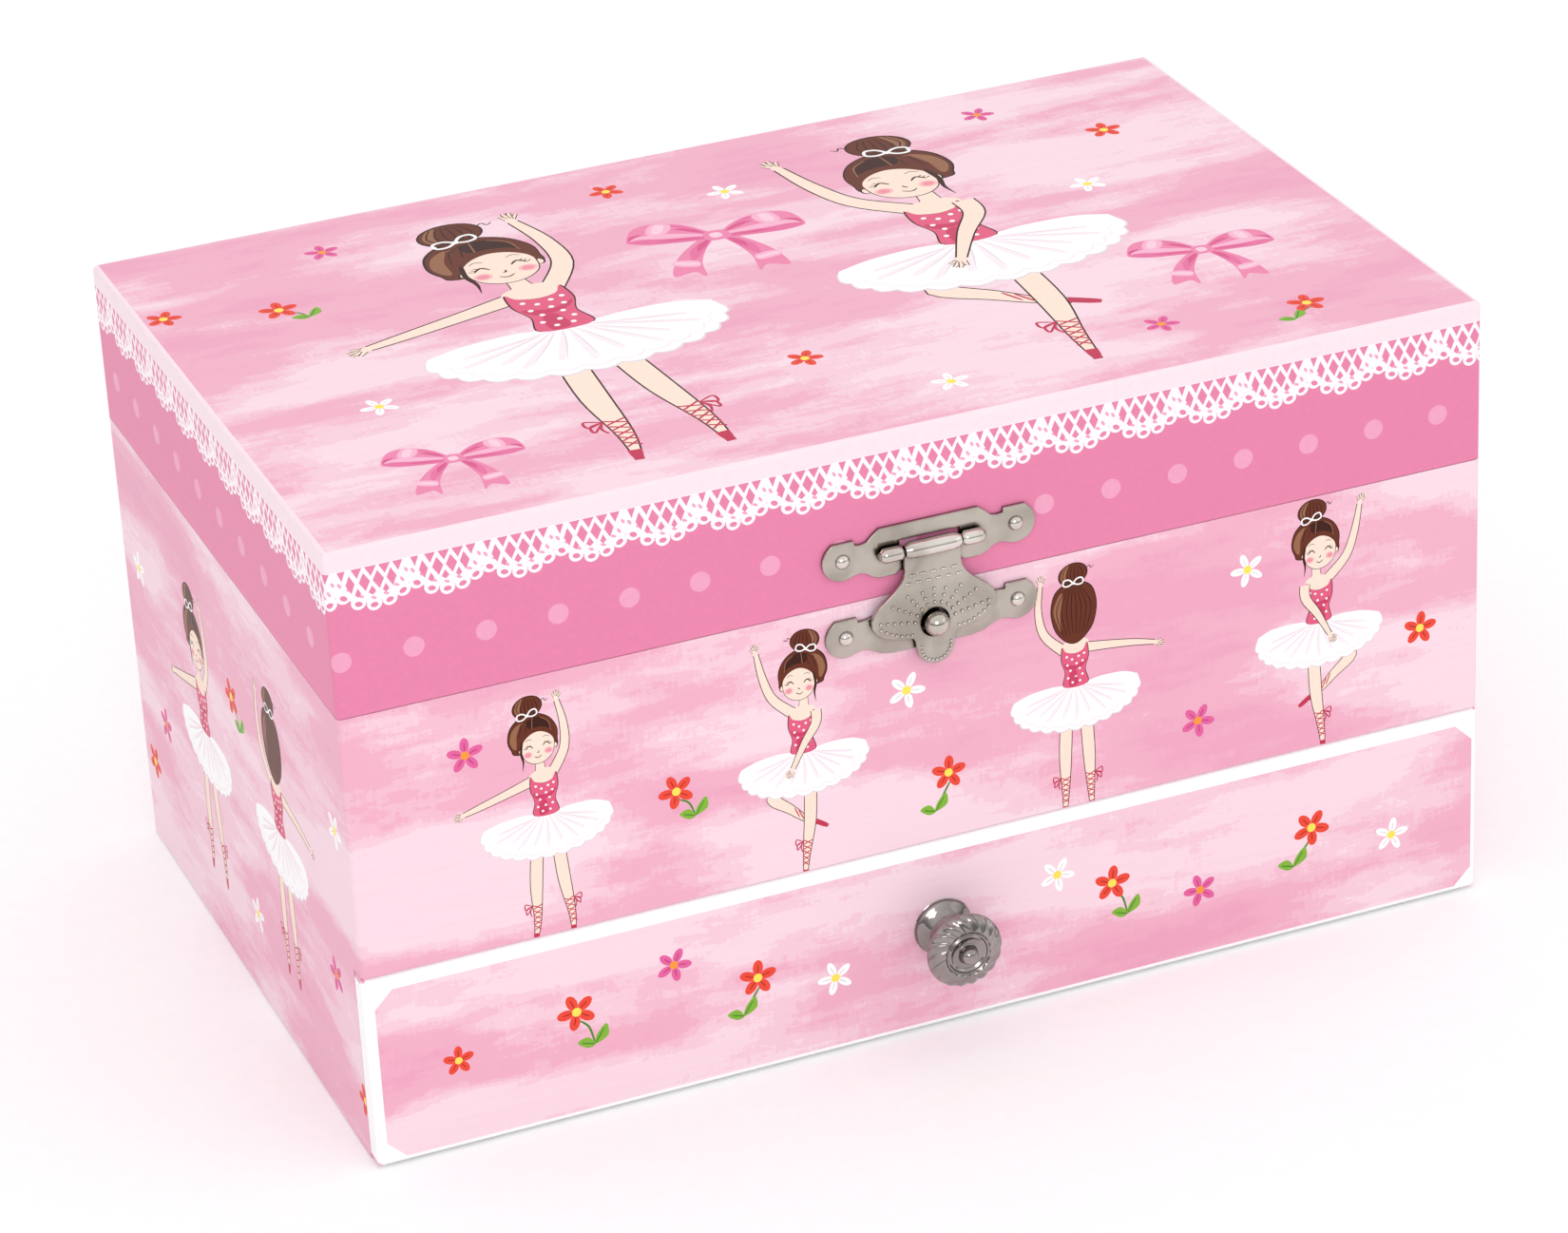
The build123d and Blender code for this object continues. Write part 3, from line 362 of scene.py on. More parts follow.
def draw_leg(pen, hip, knee, ankle, toe, bow_side):
    """Bare leg with a ribbon-tied slipper."""
    pen.limb([hip, knee, ankle, toe], [4.3, 4.4, 2.5, 0.9], SKIN, edge=0.62)
    ax, ay = ankle
    dx, dy = toe[0] - ax, toe[1] - ay
    pen.limb([(ax + 0.62 * dx, ay + 0.62 * dy), (ax + 0.8 * dx, ay + 0.8 * dy), toe],
             [2.0, 1.7, 1.0], SLIPPER, BODICE_DARK, 0.3)
    shin = hypot(ax - knee[0], ay - knee[1])
    ux, uy = (ax - knee[0]) / shin, (ay - knee[1]) / shin
    for k in range(5):
        x, y = ax - ux * (5.6 - 2.1 * k), ay - uy * (5.6 - 2.1 * k)
        half = 1.75 - 0.14 * k
        for side in (-half, half):
            pen.stroke([(x + side * uy, y - side * ux),
                        (x - side * uy + 1.7 * ux, y + side * ux + 1.7 * uy)],
                       SLIPPER, 0.42, taper=False)
    pen = pen.moved(ax - ux * 5.4 + bow_side * 1.9, ay - uy * 5.4, flip=bow_side)
    for reach, lift in ((2.6, 0.4), (2.2, -1.6)):
        pen.stroke([(0, 0), (reach, lift + 0.8), (reach, lift - 1.4), (0, 0)], SLIPPER, 0.5)
    pen.stroke([(0, 0), (0.9, -2.2), (0.4, -4.2)], SLIPPER, 0.5)


def draw_tutu(pen):
    """Wide white skirt seen a little from above, with a scalloped hem and fan folds."""
    droop, half, scallops = 17.0, 24.5, 13
    hem = []
    for share in shares(scallops * 4):
        angle = pi * share
        x = half * cos(angle)
        y = -3.5 - (droop - 3.5) * sin(angle) ** 0.85
        bump = 0.85 * abs(sin(scallops * pi * share))
        hem.append((x * (1 + 0.035 * bump), y - bump * (0.35 + sin(angle))))
    top = [(-half * 0.97, -2.2), (-half * 0.72, -0.2), (-half * 0.4, 0.6), (-5.0, 0.2), (0, -0.4),
           (5.0, 0.2), (half * 0.42, 0.9), (half * 0.76, 0.5), (half * 0.98, -1.6)]
    pen.polygon([(1.012 * x, 1.03 * y) for x, y in hem] + smooth(top, False, 4), NET_DARK)
    pen.polygon(hem + smooth(top, False, 4), WHITE)
    pen.stroke([(0.9 * x, 0.9 * y - 0.2) for x, y in hem[2:-2]], NET_SHADE, 0.5)
    for i in range(11):
        angle = radians(12 + 15.6 * i)
        far = 0.9 if i % 2 else 0.78
        x, y = half * cos(angle) * far, -2.5 - (droop - 4.0) * sin(angle) * far
        mid = (x * 0.5, y * 0.42 - 0.6)
        pen.stroke([(x * 0.14, -0.9), mid, (x, y)], NET_SHADE, [0.3, 1.0, 1.6])
        pen.stroke([(x * 0.2, -1.1), (mid[0] + 0.6, mid[1]), (x * 0.96 + 0.8, y * 0.98)],
                   NET_DARK, [0.15, 0.3, 0.2])


def draw_bodice(pen, back=False):
    """Spotted bodice from the waist to the straps."""
    outline = [(-4.2, -0.6), (-3.8, 5.0), (-5.1, 10.0), (-4.7, 15.2), (-3.4, 13.2), (0, 12.0),
               (3.2, 13.0), (4.6, 15.4), (5.1, 10.2), (3.8, 5.2), (4.5, -0.6)]
    pen.blob([(1.06 * u, v + 0.1) for u, v in outline], LINE)
    pen.blob(outline, BODICE)
    pen.blob([(-4.2, 8.6), (0.4, 7.2), (4.6, 9.4), (2.4, 6.4), (-2.6, 5.8)], BODICE_DARK)
    pen.blob([(-2.2, 4.4), (0.2, 5.4), (1.2, 1.0), (0.2, -0.6), (-2.4, -0.4)], BODICE_DARK)
    spots = [(-3.4, 11.2), (-1.2, 9.9), (1.6, 10.7), (3.9, 11.4), (-3.2, 7.9), (0.6, 8.0),
             (3.2, 8.6), (-2.0, 5.6), (1.9, 5.8), (-3.0, 2.8), (0.2, 3.0), (3.0, 3.4),
             (-1.2, 0.8), (1.9, 1.0)]
    for u, v in spots:
        pen.ellipse(0.92 * u, v, 0.5, 0.46, WHITE, 0, 8)
    if back:
        pen.stroke([(-0.1, 12.0), (0.1, -0.4)], BODICE_DARK, 0.3)


def draw_neck(pen, x):
    pen.limb([(x * 0.4, 12.0), (x * 0.8, 16.6), (x, 21.0)], [7.4, 4.0, 2.9], SKIN, edge=0.4)
    pen.blob([(-4.0, 12.6), (-5.2, 15.6), (-2.0, 17.6), (2.4, 17.8), (5.4, 16.0), (3.6, 12.6),
              (0, 11.6)], SKIN)


def draw_dancer_open(pen):
    """One arm raised, the other held out, both legs straight."""
    draw_leg(pen, (-4.2, -12), (-5.6, -28), (-6.0, -42), (-7.3, -51.5), -1)
    draw_leg(pen, (3.6, -12), (5.0, -28), (7.0, -42), (7.4, -51.8), 1)
    draw_tutu(pen)
    pen.limb([(3.0, 14.6), (8.4, 24.0), (8.8, 34.0), (6.9, 43.5)], [3.8, 3.3, 2.6, 1.6], SKIN)
    draw_hand(pen, 6.8, 44.0, 88)
    pen.limb([(-3.6, 13.8), (-14.0, 10.8), (-23.5, 8.2), (-30.5, 6.4)], [3.8, 3.0, 2.4, 1.6], SKIN)
    draw_hand(pen, -30.8, 6.3, 200)
    draw_neck(pen, -1.0)
    draw_bodice(pen)
    draw_head(pen.moved(-1.2, 26.6))


def draw_dancer_turn(pen):
    """One arm raised, the other across the skirt, one foot drawn up behind the knee."""
    pen.limb([(-9.0, -12.5), (-12.6, -16.6), (-6.0, -22.4), (-1.0, -27.0), (4.2, -30.2)],
             [4.0, 4.4, 3.3, 2.2, 1.6], SKIN)
    pen.limb([(3.6, -29.6), (6.6, -31.6), (8.2, -32.6)], [1.7, 1.6, 1.0], SLIPPER, BODICE_DARK,
             0.3)
    for k in range(3):
        pen.stroke([(-4.4 + 1.6 * k, -22.2 - 1.4 * k), (-2.6 + 1.6 * k, -26.4 - 1.2 * k)],
                   SLIPPER, 0.5)
    draw_leg(pen, (2.2, -12), (1.4, -28), (-0.6, -42), (-1.6, -52.2), -1)
    draw_tutu(pen)
    pen.limb([(-3.6, 16.0), (-10.6, 23.0), (-14.0, 32.0), (-16.0, 42.0)],
             [3.8, 3.2, 2.6, 1.6], SKIN)
    draw_hand(pen, -16.2, 42.6, 104)
    draw_neck(pen, 1.2)
    draw_bodice(pen)
    pen.limb([(5.6, 15.0), (5.2, 9.6), (0.6, 2.6), (-4.2, -6.4)], [3.6, 3.4, 2.6, 1.5], SKIN)
    draw_hand(pen, -4.4, -7.0, 236)
    draw_head(pen.moved(-0.4, 26.8, flip=-1))


def draw_dancer_back(pen):
    """Seen from behind: one arm raised, the other held out, legs straight."""
    draw_leg(pen, (-3.8, -12), (-4.6, -28), (-4.8, -42), (-5.2, -51.5), -1)
    draw_leg(pen, (3.8, -12), (4.6, -28), (5.0, -42), (5.4, -51.5), 1)
    draw_tutu(pen)
    pen.limb([(-4.2, 13.8), (-11.4, 21.5), (-13.6, 31.0), (-12.6, 41.0)],
             [3.6, 3.0, 2.4, 1.5], SKIN)
    draw_hand(pen, -12.4, 41.6, 90)
    pen.limb([(4.2, 13.6), (14.0, 12.4), (23.0, 11.0), (31.0, 9.2)], [3.6, 2.9, 2.3, 1.5], SKIN)
    draw_hand(pen, 31.4, 9.0, -14)
    draw_neck(pen, 0.0)
    draw_bodice(pen, back=True)
    draw_back_head(pen.moved(0, 27.0))


# ---- sheets of printed paper ---------------------------------------------------------------
def clip_to(shape, low_s, high_s, low_t, high_t):
    """Shape cut to a rectangle (Sutherland-Hodgman)."""
    edges = ((0, low_s, 1), (0, high_s, -1), (1, low_t, 1), (1, high_t, -1))
    points = shape
    for axis, limit, sign in edges:
        out = []
        for i, p in enumerate(points):
            q = points[i - 1]
            p_in, q_in = sign * (p[axis] - limit) >= 0, sign * (q[axis] - limit) >= 0
            if p_in != q_in:
                share = (limit - q[axis]) / (p[axis] - q[axis])
                out.append((q[0] + share * (p[0] - q[0]), q[1] + share * (p[1] - q[1])))
            if p_in:
                out.append(p)
        points = out
        if not points:
            return []
    return points


def inside(points, polygon):
    """Which points lie in a polygon, by winding number."""
    winding = np.zeros(len(points), int)
    px, py = points[:, 0], points[:, 1]
    for (ax, ay), (bx, by) in zip(polygon, polygon[1:] + polygon[:1]):
        side = (bx - ax) * (py - ay) - (px - ax) * (by - ay)
        winding += (ay <= py) & (by > py) & (side > 0)
        winding -= (ay > py) & (by <= py) & (side < 0)
    return winding != 0


def top_shapes(centres, shapes):
    """Index of the topmost shape over each point, or -1."""
    top = np.full(len(centres), -1)
    order = np.argsort(centres[:, 0])
    ordered = centres[order]
    for number, (shape, _) in enumerate(shapes):
        xs, ys = [p[0] for p in shape], [p[1] for p in shape]
        first, last = np.searchsorted(ordered[:, 0], (min(xs), max(xs)))
        near = ordered[first:last]
        tall = (near[:, 1] >= min(ys)) & (near[:, 1] <= max(ys))
        at = order[first:last][tall]
        if len(at):
            top[at[inside(near[tall], shape)]] = number
    return top


def cut_flat(outline, holes, shapes, creases):
    """Flat sheet cut along every shape: its points, and its triangles with the colour on top."""
    low_s, high_s = min(p[0] for p in outline), max(p[0] for p in outline)
    low_t, high_t = min(p[1] for p in outline), max(p[1] for p in outline)
    drawn = []
    for shape, colour in shapes:
        cut = clip_to(shape, low_s, high_s, low_t, high_t)
        if len(cut) > 2:
            drawn.append((cut, colour))
    points, edges = [], []
    for ring in [outline] + holes + [shape for shape, _ in drawn]:
        first = len(points)
        points += ring
        edges += [(first + i, first + (i + 1) % len(ring)) for i in range(len(ring))]
    for line in creases:
        edges.append((len(points), len(points) + 1))
        points += line
    out = delaunay_2d_cdt([Vector(p) for p in points], edges, [], 0, 1e-4)
    flat, triangles = [(v.x, v.y) for v in out[0]], out[2]
    centres = np.array(flat)[np.array(triangles)].mean(axis=1)
    kept = inside(centres, outline)
    for hole in holes:
        kept &= ~inside(centres, hole)
    top = top_shapes(centres, drawn)
    return flat, [(tri, drawn[n][1] if n >= 0 else None)
                  for tri, n, keep in zip(triangles, top, kept) if keep]


def printed_sheet(name, body, draw, outline, holes, creases, bend, seed):
    """One closed sheet of thin paper that rides on a body. The outline is cut by every shape
    that draw adds and takes the colour of the topmost one; bend(s, t) gives the point and
    normal of its outer face. Creases are lines that no face may cross; the seed picks where
    the patches of the wash fall."""
    shapes = []
    draw(shapes)
    flat, triangles = cut_flat(outline, holes, shapes, creases)
    outer_points, normals, values, found, index, outer = [], [], [], {}, {}, []
    for tri, colour in triangles:
        for v in tri:
            if v not in index:
                point, normal = bend(*flat[v])
                key = tuple(round(c, 4) for c in point)
                if key not in found:
                    found[key] = len(outer_points)
                    outer_points.append(point)
                    normals.append(normal)
                    values += [*flat[v], seed]
                index[v] = found[key]
        corners = [index[v] for v in tri]
        if len(set(corners)) == 3:
            outer.append((corners, colour))
    count = len(outer_points)
    rim = {}
    for corners, _ in outer:
        for a, b in zip(corners, corners[1:] + corners[:1]):
            if (b, a) in rim:
                del rim[(b, a)]
            else:
                rim[(a, b)] = True
    loops = [c for c, _ in outer] + [[v + count for v in reversed(c)] for c, _ in outer]
    loops += [[b, a, a + count, b + count] for a, b in rim]
    inner_points = [p - n * PAPER_THICK for p, n in zip(outer_points, normals)]
    mesh = bpy.data.meshes.new(name)
    mesh.from_pydata([p * MM for p in outer_points + inner_points], [], loops)
    ink = mesh.color_attributes.new("ink", "FLOAT_COLOR", "CORNER")
    ink_values = []
    for _, colour in outer:
        ink_values += [*colour, 1.0] * 3 if colour else [1.0, 1.0, 1.0, 0.0] * 3
    ink_values += [1.0, 1.0, 1.0, 0.0] * (len(mesh.loops) - 3 * len(outer))
    ink.data.foreach_set("color", ink_values)
    place = mesh.attributes.new("sheet_place", "FLOAT_VECTOR", "POINT")
    place.data.foreach_set("vector", values + values)
    mesh.materials.append(PRINT)
    mesh.update()
    mesh.polygons.foreach_set("use_smooth", [True] * len(mesh.polygons))
    normals += [-n for n in normals]
    mesh.normals_split_custom_set([
        tuple(normals[v] if len(polygon.vertices) == 3 else polygon.normal)
        for polygon in mesh.polygons for v in polygon.vertices])
    sheet = add_object(name, mesh)
    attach(sheet, body)


# ---- the box's printed sheets --------------------------------------------------------------
def rect(s0, s1, t0, t1):
    return [(s0, t0), (s1, t0), (s1, t1), (s0, t1)]


def disc(s, t, radius, count=32):
    return [(s + radius * cos(a), t + radius * sin(a)) for a in angles(count)]


ROLL = EDGE * pi / 2                        # length of paper round a wrapped edge
FLAT_X = W / 2 - EDGE                       # the flat part of the drawer's front
FLAT_LOW, FLAT_HIGH = DRAWER_FOOT + EDGE, DRAWER_TOP - EDGE
# The walls unrolled: where the left, front, right and back sides start, and the end.
CORNERS = (0.0, D, D + W, 2 * D + W, 2 * (D + W))
# Where each side starts in plan, and the way that it runs.
SIDES = ((Vector((-W / 2, D / 2)), Vector((0, -1))), (Vector((-W / 2, -D / 2)), Vector((1, 0))),
         (Vector((W / 2, -D / 2)), Vector((0, 1))), (Vector((W / 2, D / 2)), Vector((-1, 0))))


def around(s):
    """Point on the outline of the box's plan and its outward direction, for an unrolled s."""
    s = limited(s, 0.0, CORNERS[-1])
    for k, corner_s in enumerate(CORNERS):
        if abs(s - corner_s) < EDGE - 1e-9:
            before, (corner, after) = SIDES[(k - 1) % 4][1], SIDES[k % 4]
            middle = corner + (after - before) * EDGE
            angle = (s - corner_s + EDGE) / (2 * EDGE) * pi / 2
            out = (Vector((before.y, -before.x)) * cos(angle)
                   + Vector((after.y, -after.x)) * sin(angle))
            return middle + out * EDGE, out
    k = next(i for i in range(4) if s <= CORNERS[i + 1])
    start, along = SIDES[k]
    return start + along * (s - CORNERS[k]), Vector((along.y, -along.x))


def wall_bend(s, t):
    """Upright walls."""
    foot, out = around(s)
    normal = Vector((out.x, out.y, 0))
    return Vector((foot.x, foot.y, t)) + normal * SHEET, normal


def lid_bend(s, t):
    """Upright walls of the lid; above the rounding's start the sheet turns in over the top."""
    foot, out = around(s)
    start = H - EDGE
    side = Vector((out.x, out.y, 0))
    if t <= start:
        return Vector((foot.x, foot.y, t)) + side * SHEET, side
    angle = min((t - start) / EDGE, pi / 2)
    normal = side * cos(angle) + Vector((0, 0, sin(angle)))
    middle = Vector((foot.x, foot.y, start)) - side * EDGE
    return middle + normal * (EDGE + SHEET), normal


def top_bend(s, t):
    return Vector((s, t, H + SHEET)), Vector((0, 0, 1))


def drawer_bend(s, t):
    """Front of the drawer with its edges rolled back over the board."""
    flat_s, flat_t = limited(s, -FLAT_X, FLAT_X), limited(t, FLAT_LOW, FLAT_HIGH)
    over = hypot(s - flat_s, t - flat_t)
    front = low_drawer.y
    if over < 1e-9:
        return Vector((s, front - SHEET, t)), Vector((0, -1, 0))
    sideways = Vector(((s - flat_s) / over, 0, (t - flat_t) / over))
    angle = min(over, ROLL) / EDGE
    normal = sideways * sin(angle) - Vector((0, cos(angle), 0))
    middle = Vector((flat_s, front + EDGE + max(over - ROLL, 0.0), flat_t))
    return middle + normal * (EDGE + SHEET), normal


# ---- materials -----------------------------------------------------------------------------
class Nodes:
    """Short way to wire a node material."""

    def __init__(self, name, rough=0.5, metal=0.0):
        self.material = bpy.data.materials.new(name)
        self.material.use_nodes = True
        self.tree = self.material.node_tree
        self.shader = self.tree.nodes["Principled BSDF"]
        self.put(Metallic=metal, Roughness=rough)

    def feed(self, socket, value):
        """Links an output to a socket, or sets a number or a colour on it."""
        if isinstance(value, bpy.types.NodeSocket):
            self.tree.links.new(value, socket)
        elif socket.type == "RGBA":
            socket.default_value = (*value, 1.0)
        else:
            socket.default_value = value

    def put(self, **values):
        """Feeds inputs of the shader; an underscore in a name stands for a space."""
        for name, value in values.items():
            self.feed(self.shader.inputs[name.replace("_", " ")], value)

    def add(self, kind, settings=None, **inputs):
        """New node with some settings, and values or links for some inputs."""
        node = self.tree.nodes.new(kind)
        for key, value in (settings or {}).items():
            setattr(node, key, value)
        for key, value in inputs.items():
            self.feed(node.inputs[key.replace("_", " ")], value)
        return node

    def attribute(self, name):
        return self.add("ShaderNodeAttribute", {"attribute_name": name}).outputs

    def math(self, operation, a, b):
        node = self.add("ShaderNodeMath", {"operation": operation})
        self.feed(node.inputs[0], a)
        self.feed(node.inputs[1], b)
        return node.outputs[0]

    def noise(self, where, scale, detail=2.0, distortion=0.0, roughness=0.5):
        return self.add("ShaderNodeTexNoise", Vector=where, Scale=scale, Detail=detail,
                        Distortion=distortion, Roughness=roughness).outputs[0]

    def stretched(self, where, scale):
        return self.add("ShaderNodeMapping", Vector=where, Scale=scale).outputs[0]

    def ramp(self, factor, stops):
        """Colour by factor; stops are (position, hex code or linear colour)."""
        node = self.add("ShaderNodeValToRGB", Fac=factor)
        elements = node.color_ramp.elements
        while len(elements) < len(stops):
            elements.new(0.5)
        for element, (position, colour) in zip(elements, stops):
            element.position = position
            element.color = (*(linear(colour) if isinstance(colour, str) else colour), 1.0)
        return node.outputs[0]

    def mix(self, factor, a, b, blend="MIX"):
        node = self.add("ShaderNodeMix", {"data_type": "RGBA", "blend_type": blend})
        for slot, value in ((0, factor), (6, a), (7, b)):
            self.feed(node.inputs[slot], value)
        return node.outputs[2]

    def between(self, value, low, high):
        return self.add("ShaderNodeMapRange", Value=value, To_Min=low, To_Max=high).outputs[0]

    def occlusion(self, distance):
        """Low in corners and folds up to the given distance across, 1 in the open."""
        return self.add("ShaderNodeAmbientOcclusion", {"samples": 8},
                        Distance=distance).outputs["AO"]

    def bump(self, height, strength, distance):
        self.put(Normal=self.add("ShaderNodeBump", Height=height, Strength=strength,
                                 Distance=distance).outputs[0])

    def position(self):
        return self.add("ShaderNodeTexCoord").outputs["Object"]


def printed_paper():
    """Glossy printed paper: a watercolour wash with the drawing inked over it."""
    n = Nodes("printed_paper")
    place, ink = n.attribute("sheet_place")["Vector"], n.attribute("ink")
    broad = n.noise(n.stretched(place, (0.30, 1.0, 1.0)), 0.055, 2.0, 0.3)
    ragged = n.noise(n.stretched(place, (0.26, 1.0, 1.0)), 0.36, 5.0, 0.2, 0.68)
    hatch = n.noise(n.stretched(place, (1.0, 0.22, 1.0)), 1.7, 2.0, 0.3)
    cloud = n.math("ADD", broad, n.between(ragged, -0.14, 0.18))
    cloud = n.math("ADD", cloud, n.between(hatch, -0.035, 0.035))
    wash = n.ramp(cloud, [(0.34, WASH_DEEP), (0.40, WASH_MID), (0.47, WASH_MID),
                          (0.48, WASH_SOFT), (0.515, WASH_SOFT), (0.525, WASH_LIGHT),
                          (0.575, WASH_LIGHT), (0.585, WASH_PALE)])
    bristle = n.noise(n.stretched(place, (0.05, 1.0, 1.0)), 1.6, 3.0, 0.5)
    wash = n.mix(n.between(bristle, 0.0, 0.24), wash, WASH_MID)
    pigment = n.between(n.noise(place, 1.1, 3.0), 0.95, 1.04)
    inked = n.mix(1.0, ink["Color"], pigment, "MULTIPLY")
    grain = n.noise(place, 6.0, 3.0)
    n.put(Base_Color=n.mix(ink["Alpha"], wash, inked), Roughness=n.between(grain, 0.34, 0.50),
          IOR=1.25, Coat_Weight=0.04, Coat_Roughness=0.2)
    n.bump(grain, 0.12, 0.00005)
    return n.material


def plain_paper(name, colour, shade):
    n = Nodes(name)
    place = n.position()
    fibre = n.noise(place, 1600.0, 4.0)
    n.put(Base_Color=n.ramp(n.noise(place, 40.0, 3.0), [(0.3, shade), (0.65, colour)]),
          Roughness=n.between(fibre, 0.5, 0.72))
    n.bump(fibre, 0.25, 0.00006)
    return n.material


def metal(name, colour, shade, rough, grain_scale=2500.0, strength=0.08):
    """Plated or cast metal, with painted shade that darkens its recesses."""
    n = Nodes(name, metal=1.0)
    place = n.position()
    cloud = n.noise(place, 130.0, 3.0, 0.4)
    tone = n.ramp(cloud, [(0.35, shade), (0.6, colour)])
    # Painted shade: occlusion darkens the colour almost to black in recesses and between parts.
    recess_shade = n.ramp(n.occlusion(0.0016), [(0.25, tuple(0.12 * c for c in linear(shade))),
                                           (0.85, WHITE)])
    n.put(Base_Color=n.mix(1.0, tone, recess_shade, "MULTIPLY"),
          Roughness=n.between(cloud, rough - 0.04, rough + 0.06))
    n.bump(n.noise(place, grain_scale, 3.0), strength, 0.00004)
    return n.material


def shade_in_folds(n, tone, depth):
    """Painted shade: colour that darkens in the folds of a cloth, where shade falls; depth is how deep a fold it
    sees.
    """
    # Painted shade: occlusion darkens the cloth's colour in its folds.
    fold_shade = n.ramp(n.occlusion(depth), [(0.3, (0.50, 0.34, 0.42)), (0.95, WHITE)])
    n.put(Base_Color=n.mix(1.0, tone, fold_shade, "MULTIPLY"))


def velvet(name, colour, shade):
    """Short pile: dull, with a pale sheen where it is seen along the surface."""
    n = Nodes(name, rough=0.95)
    place = n.position()
    crush = n.noise(place, 90.0, 4.0, 0.8)
    # Painted shade darkens the velvet in its folds.
    shade_in_folds(n, n.ramp(crush, [(0.32, shade), (0.62, colour)]), 0.004)
    n.put(Sheen_Weight=0.8, Sheen_Roughness=0.35, Sheen_Tint=(1.0, 0.85, 0.92))
    n.bump(n.noise(place, 2600.0, 3.0), 0.5, 0.00015)
    return n.material


def satin(name, colour, shade):
    """Satin: a smooth weave whose gloss runs across the threads."""
    n = Nodes(name)
    place = n.position()
    cloud = n.noise(place, 60.0, 3.0, 0.6)
    # Painted shade darkens the satin in its folds.
    shade_in_folds(n, n.ramp(cloud, [(0.35, shade), (0.62, colour)]), 0.003)
    thread = n.noise(n.stretched(place, (1.0, 7.0, 1.0)), 900.0, 3.0)
    n.put(Sheen_Weight=0.35, Sheen_Roughness=0.3, Roughness=n.between(thread, 0.3, 0.46))
    n.bump(thread, 0.2, 0.00006)
    return n.material


def tulle():
    """White net: fine crossed threads with open cells between them."""
    n = Nodes("tulle", rough=0.7)
    x, y, z = (n.add("ShaderNodeTexWave", {"bands_direction": axis}, Vector=n.position(),
                     Scale=900.0, Distortion=0.4).outputs["Fac"] for axis in "XYZ")
    weave = n.math("MAXIMUM", n.math("MAXIMUM", x, y), z)
    n.put(Alpha=n.between(weave, 0.45, 0.98), Sheen_Weight=0.4,
          Base_Color=n.ramp(weave, [(0.4, "F7DCE6"), (0.8, "FFFCFD")]))
    n.bump(weave, 0.3, 0.00008)
    return n.material


def plastic(name, colour, shade, rough):
    n = Nodes(name)
    place = n.position()
    grain = n.noise(place, 1500.0, 2.0)
    n.put(Base_Color=n.ramp(n.noise(place, 220.0, 3.0), [(0.35, shade), (0.65, colour)]),
          Roughness=n.between(grain, rough - 0.05, rough + 0.08))
    n.bump(grain, 0.06, 0.00004)
    return n.material


def mirror_glass():
    n = Nodes("mirror_glass", metal=1.0)
    smear = n.noise(n.position(), 55.0, 4.0, 1.2)
    n.put(Base_Color=n.ramp(smear, [(0.3, (0.90, 0.915, 0.915)), (0.7, (0.92, 0.93, 0.93))]),
          Roughness=n.between(smear, 0.015, 0.06))
    return n.material


PRINT = printed_paper()
PAPER = plain_paper("pink_paper", "F3B7CC", "EDA6BF")
NICKEL = metal("nickel", "BCB3AA", "A39A91", 0.2, 2500.0, 0.04)
POLISHED = metal("polished_nickel", "DDD6CF", "BDB5AC", 0.1, 1200.0, 0.01)
CHROME = metal("dark_chrome", "A39C99", "847D7B", 0.08, 1200.0, 0.01)
STEEL = metal("steel", "BDBEC2", "97999E", 0.33)
ZINC = metal("cast_zinc", "A9A9A6", "8B8B89", 0.55, 900.0, 0.4)
BRASS = metal("brass", "D9BC78", "B79350", 0.26)
NYLON = plastic("nylon", "F1EFE8", "E3E0D6", 0.45)
GLASS = mirror_glass()
PLUSH = velvet("plush", "E98BB0", "DA6F99")
SATIN = satin("lid_satin", "F3AECA", "E88DB2")
SKIN_PAINT = plastic("skin_paint", "F6D3BE", "EDC0A6", 0.42)
HAIR_PAINT = plastic("hair_paint", "6E3A24", "4A2416", 0.38)
BODICE_PAINT = plastic("bodice_paint", "F07FA3", "E0668D", 0.34)
SATIN_PAINT = plastic("slipper_paint", "E98AA8", "DB6E92", 0.34)
TULLE = tulle()
SLOT_MATERIALS = {"printed_board": PAPER, "lined_board": PAPER, "plush": PLUSH,
                  "nickel_plate": NICKEL, "steel": STEEL, "cast_zinc": ZINC, "brass": BRASS,
                  "nylon": NYLON, "mirror": GLASS, "dancer_skin": NYLON, "tulle": TULLE}


# ---- the drawings on each sheet ------------------------------------------------------------
def front_s(x):
    return CORNERS[1] + W / 2 + x


def draw_band(shapes):
    """Lid walls: pink band with dots, white lace under a pale edge."""
    pale, end = H - 3.0, CORNERS[-1]
    shapes.append((rect(0, end, LID_FOOT - 1, pale + 0.5), BAND))
    shapes.append((rect(0, end, pale, H + 3), PALE))
    pen = Pen(shapes)
    dot_pitch, first_dot, dots = 11.32, -82.4, range(-12, 45)
    for k in dots:
        pen.ellipse(front_s(first_dot + dot_pitch * k), LID_FOOT + 9.2, 1.66, 1.66, BAND_DOT)
    lace_pitch, first = 11.3, front_s(-87.8)
    for k in range(floor(-first / lace_pitch), ceil((end - first) / lace_pitch) + 1):
        draw_scallop(Pen(shapes, first + k * lace_pitch, pale), lace_pitch / 2 + 0.02)


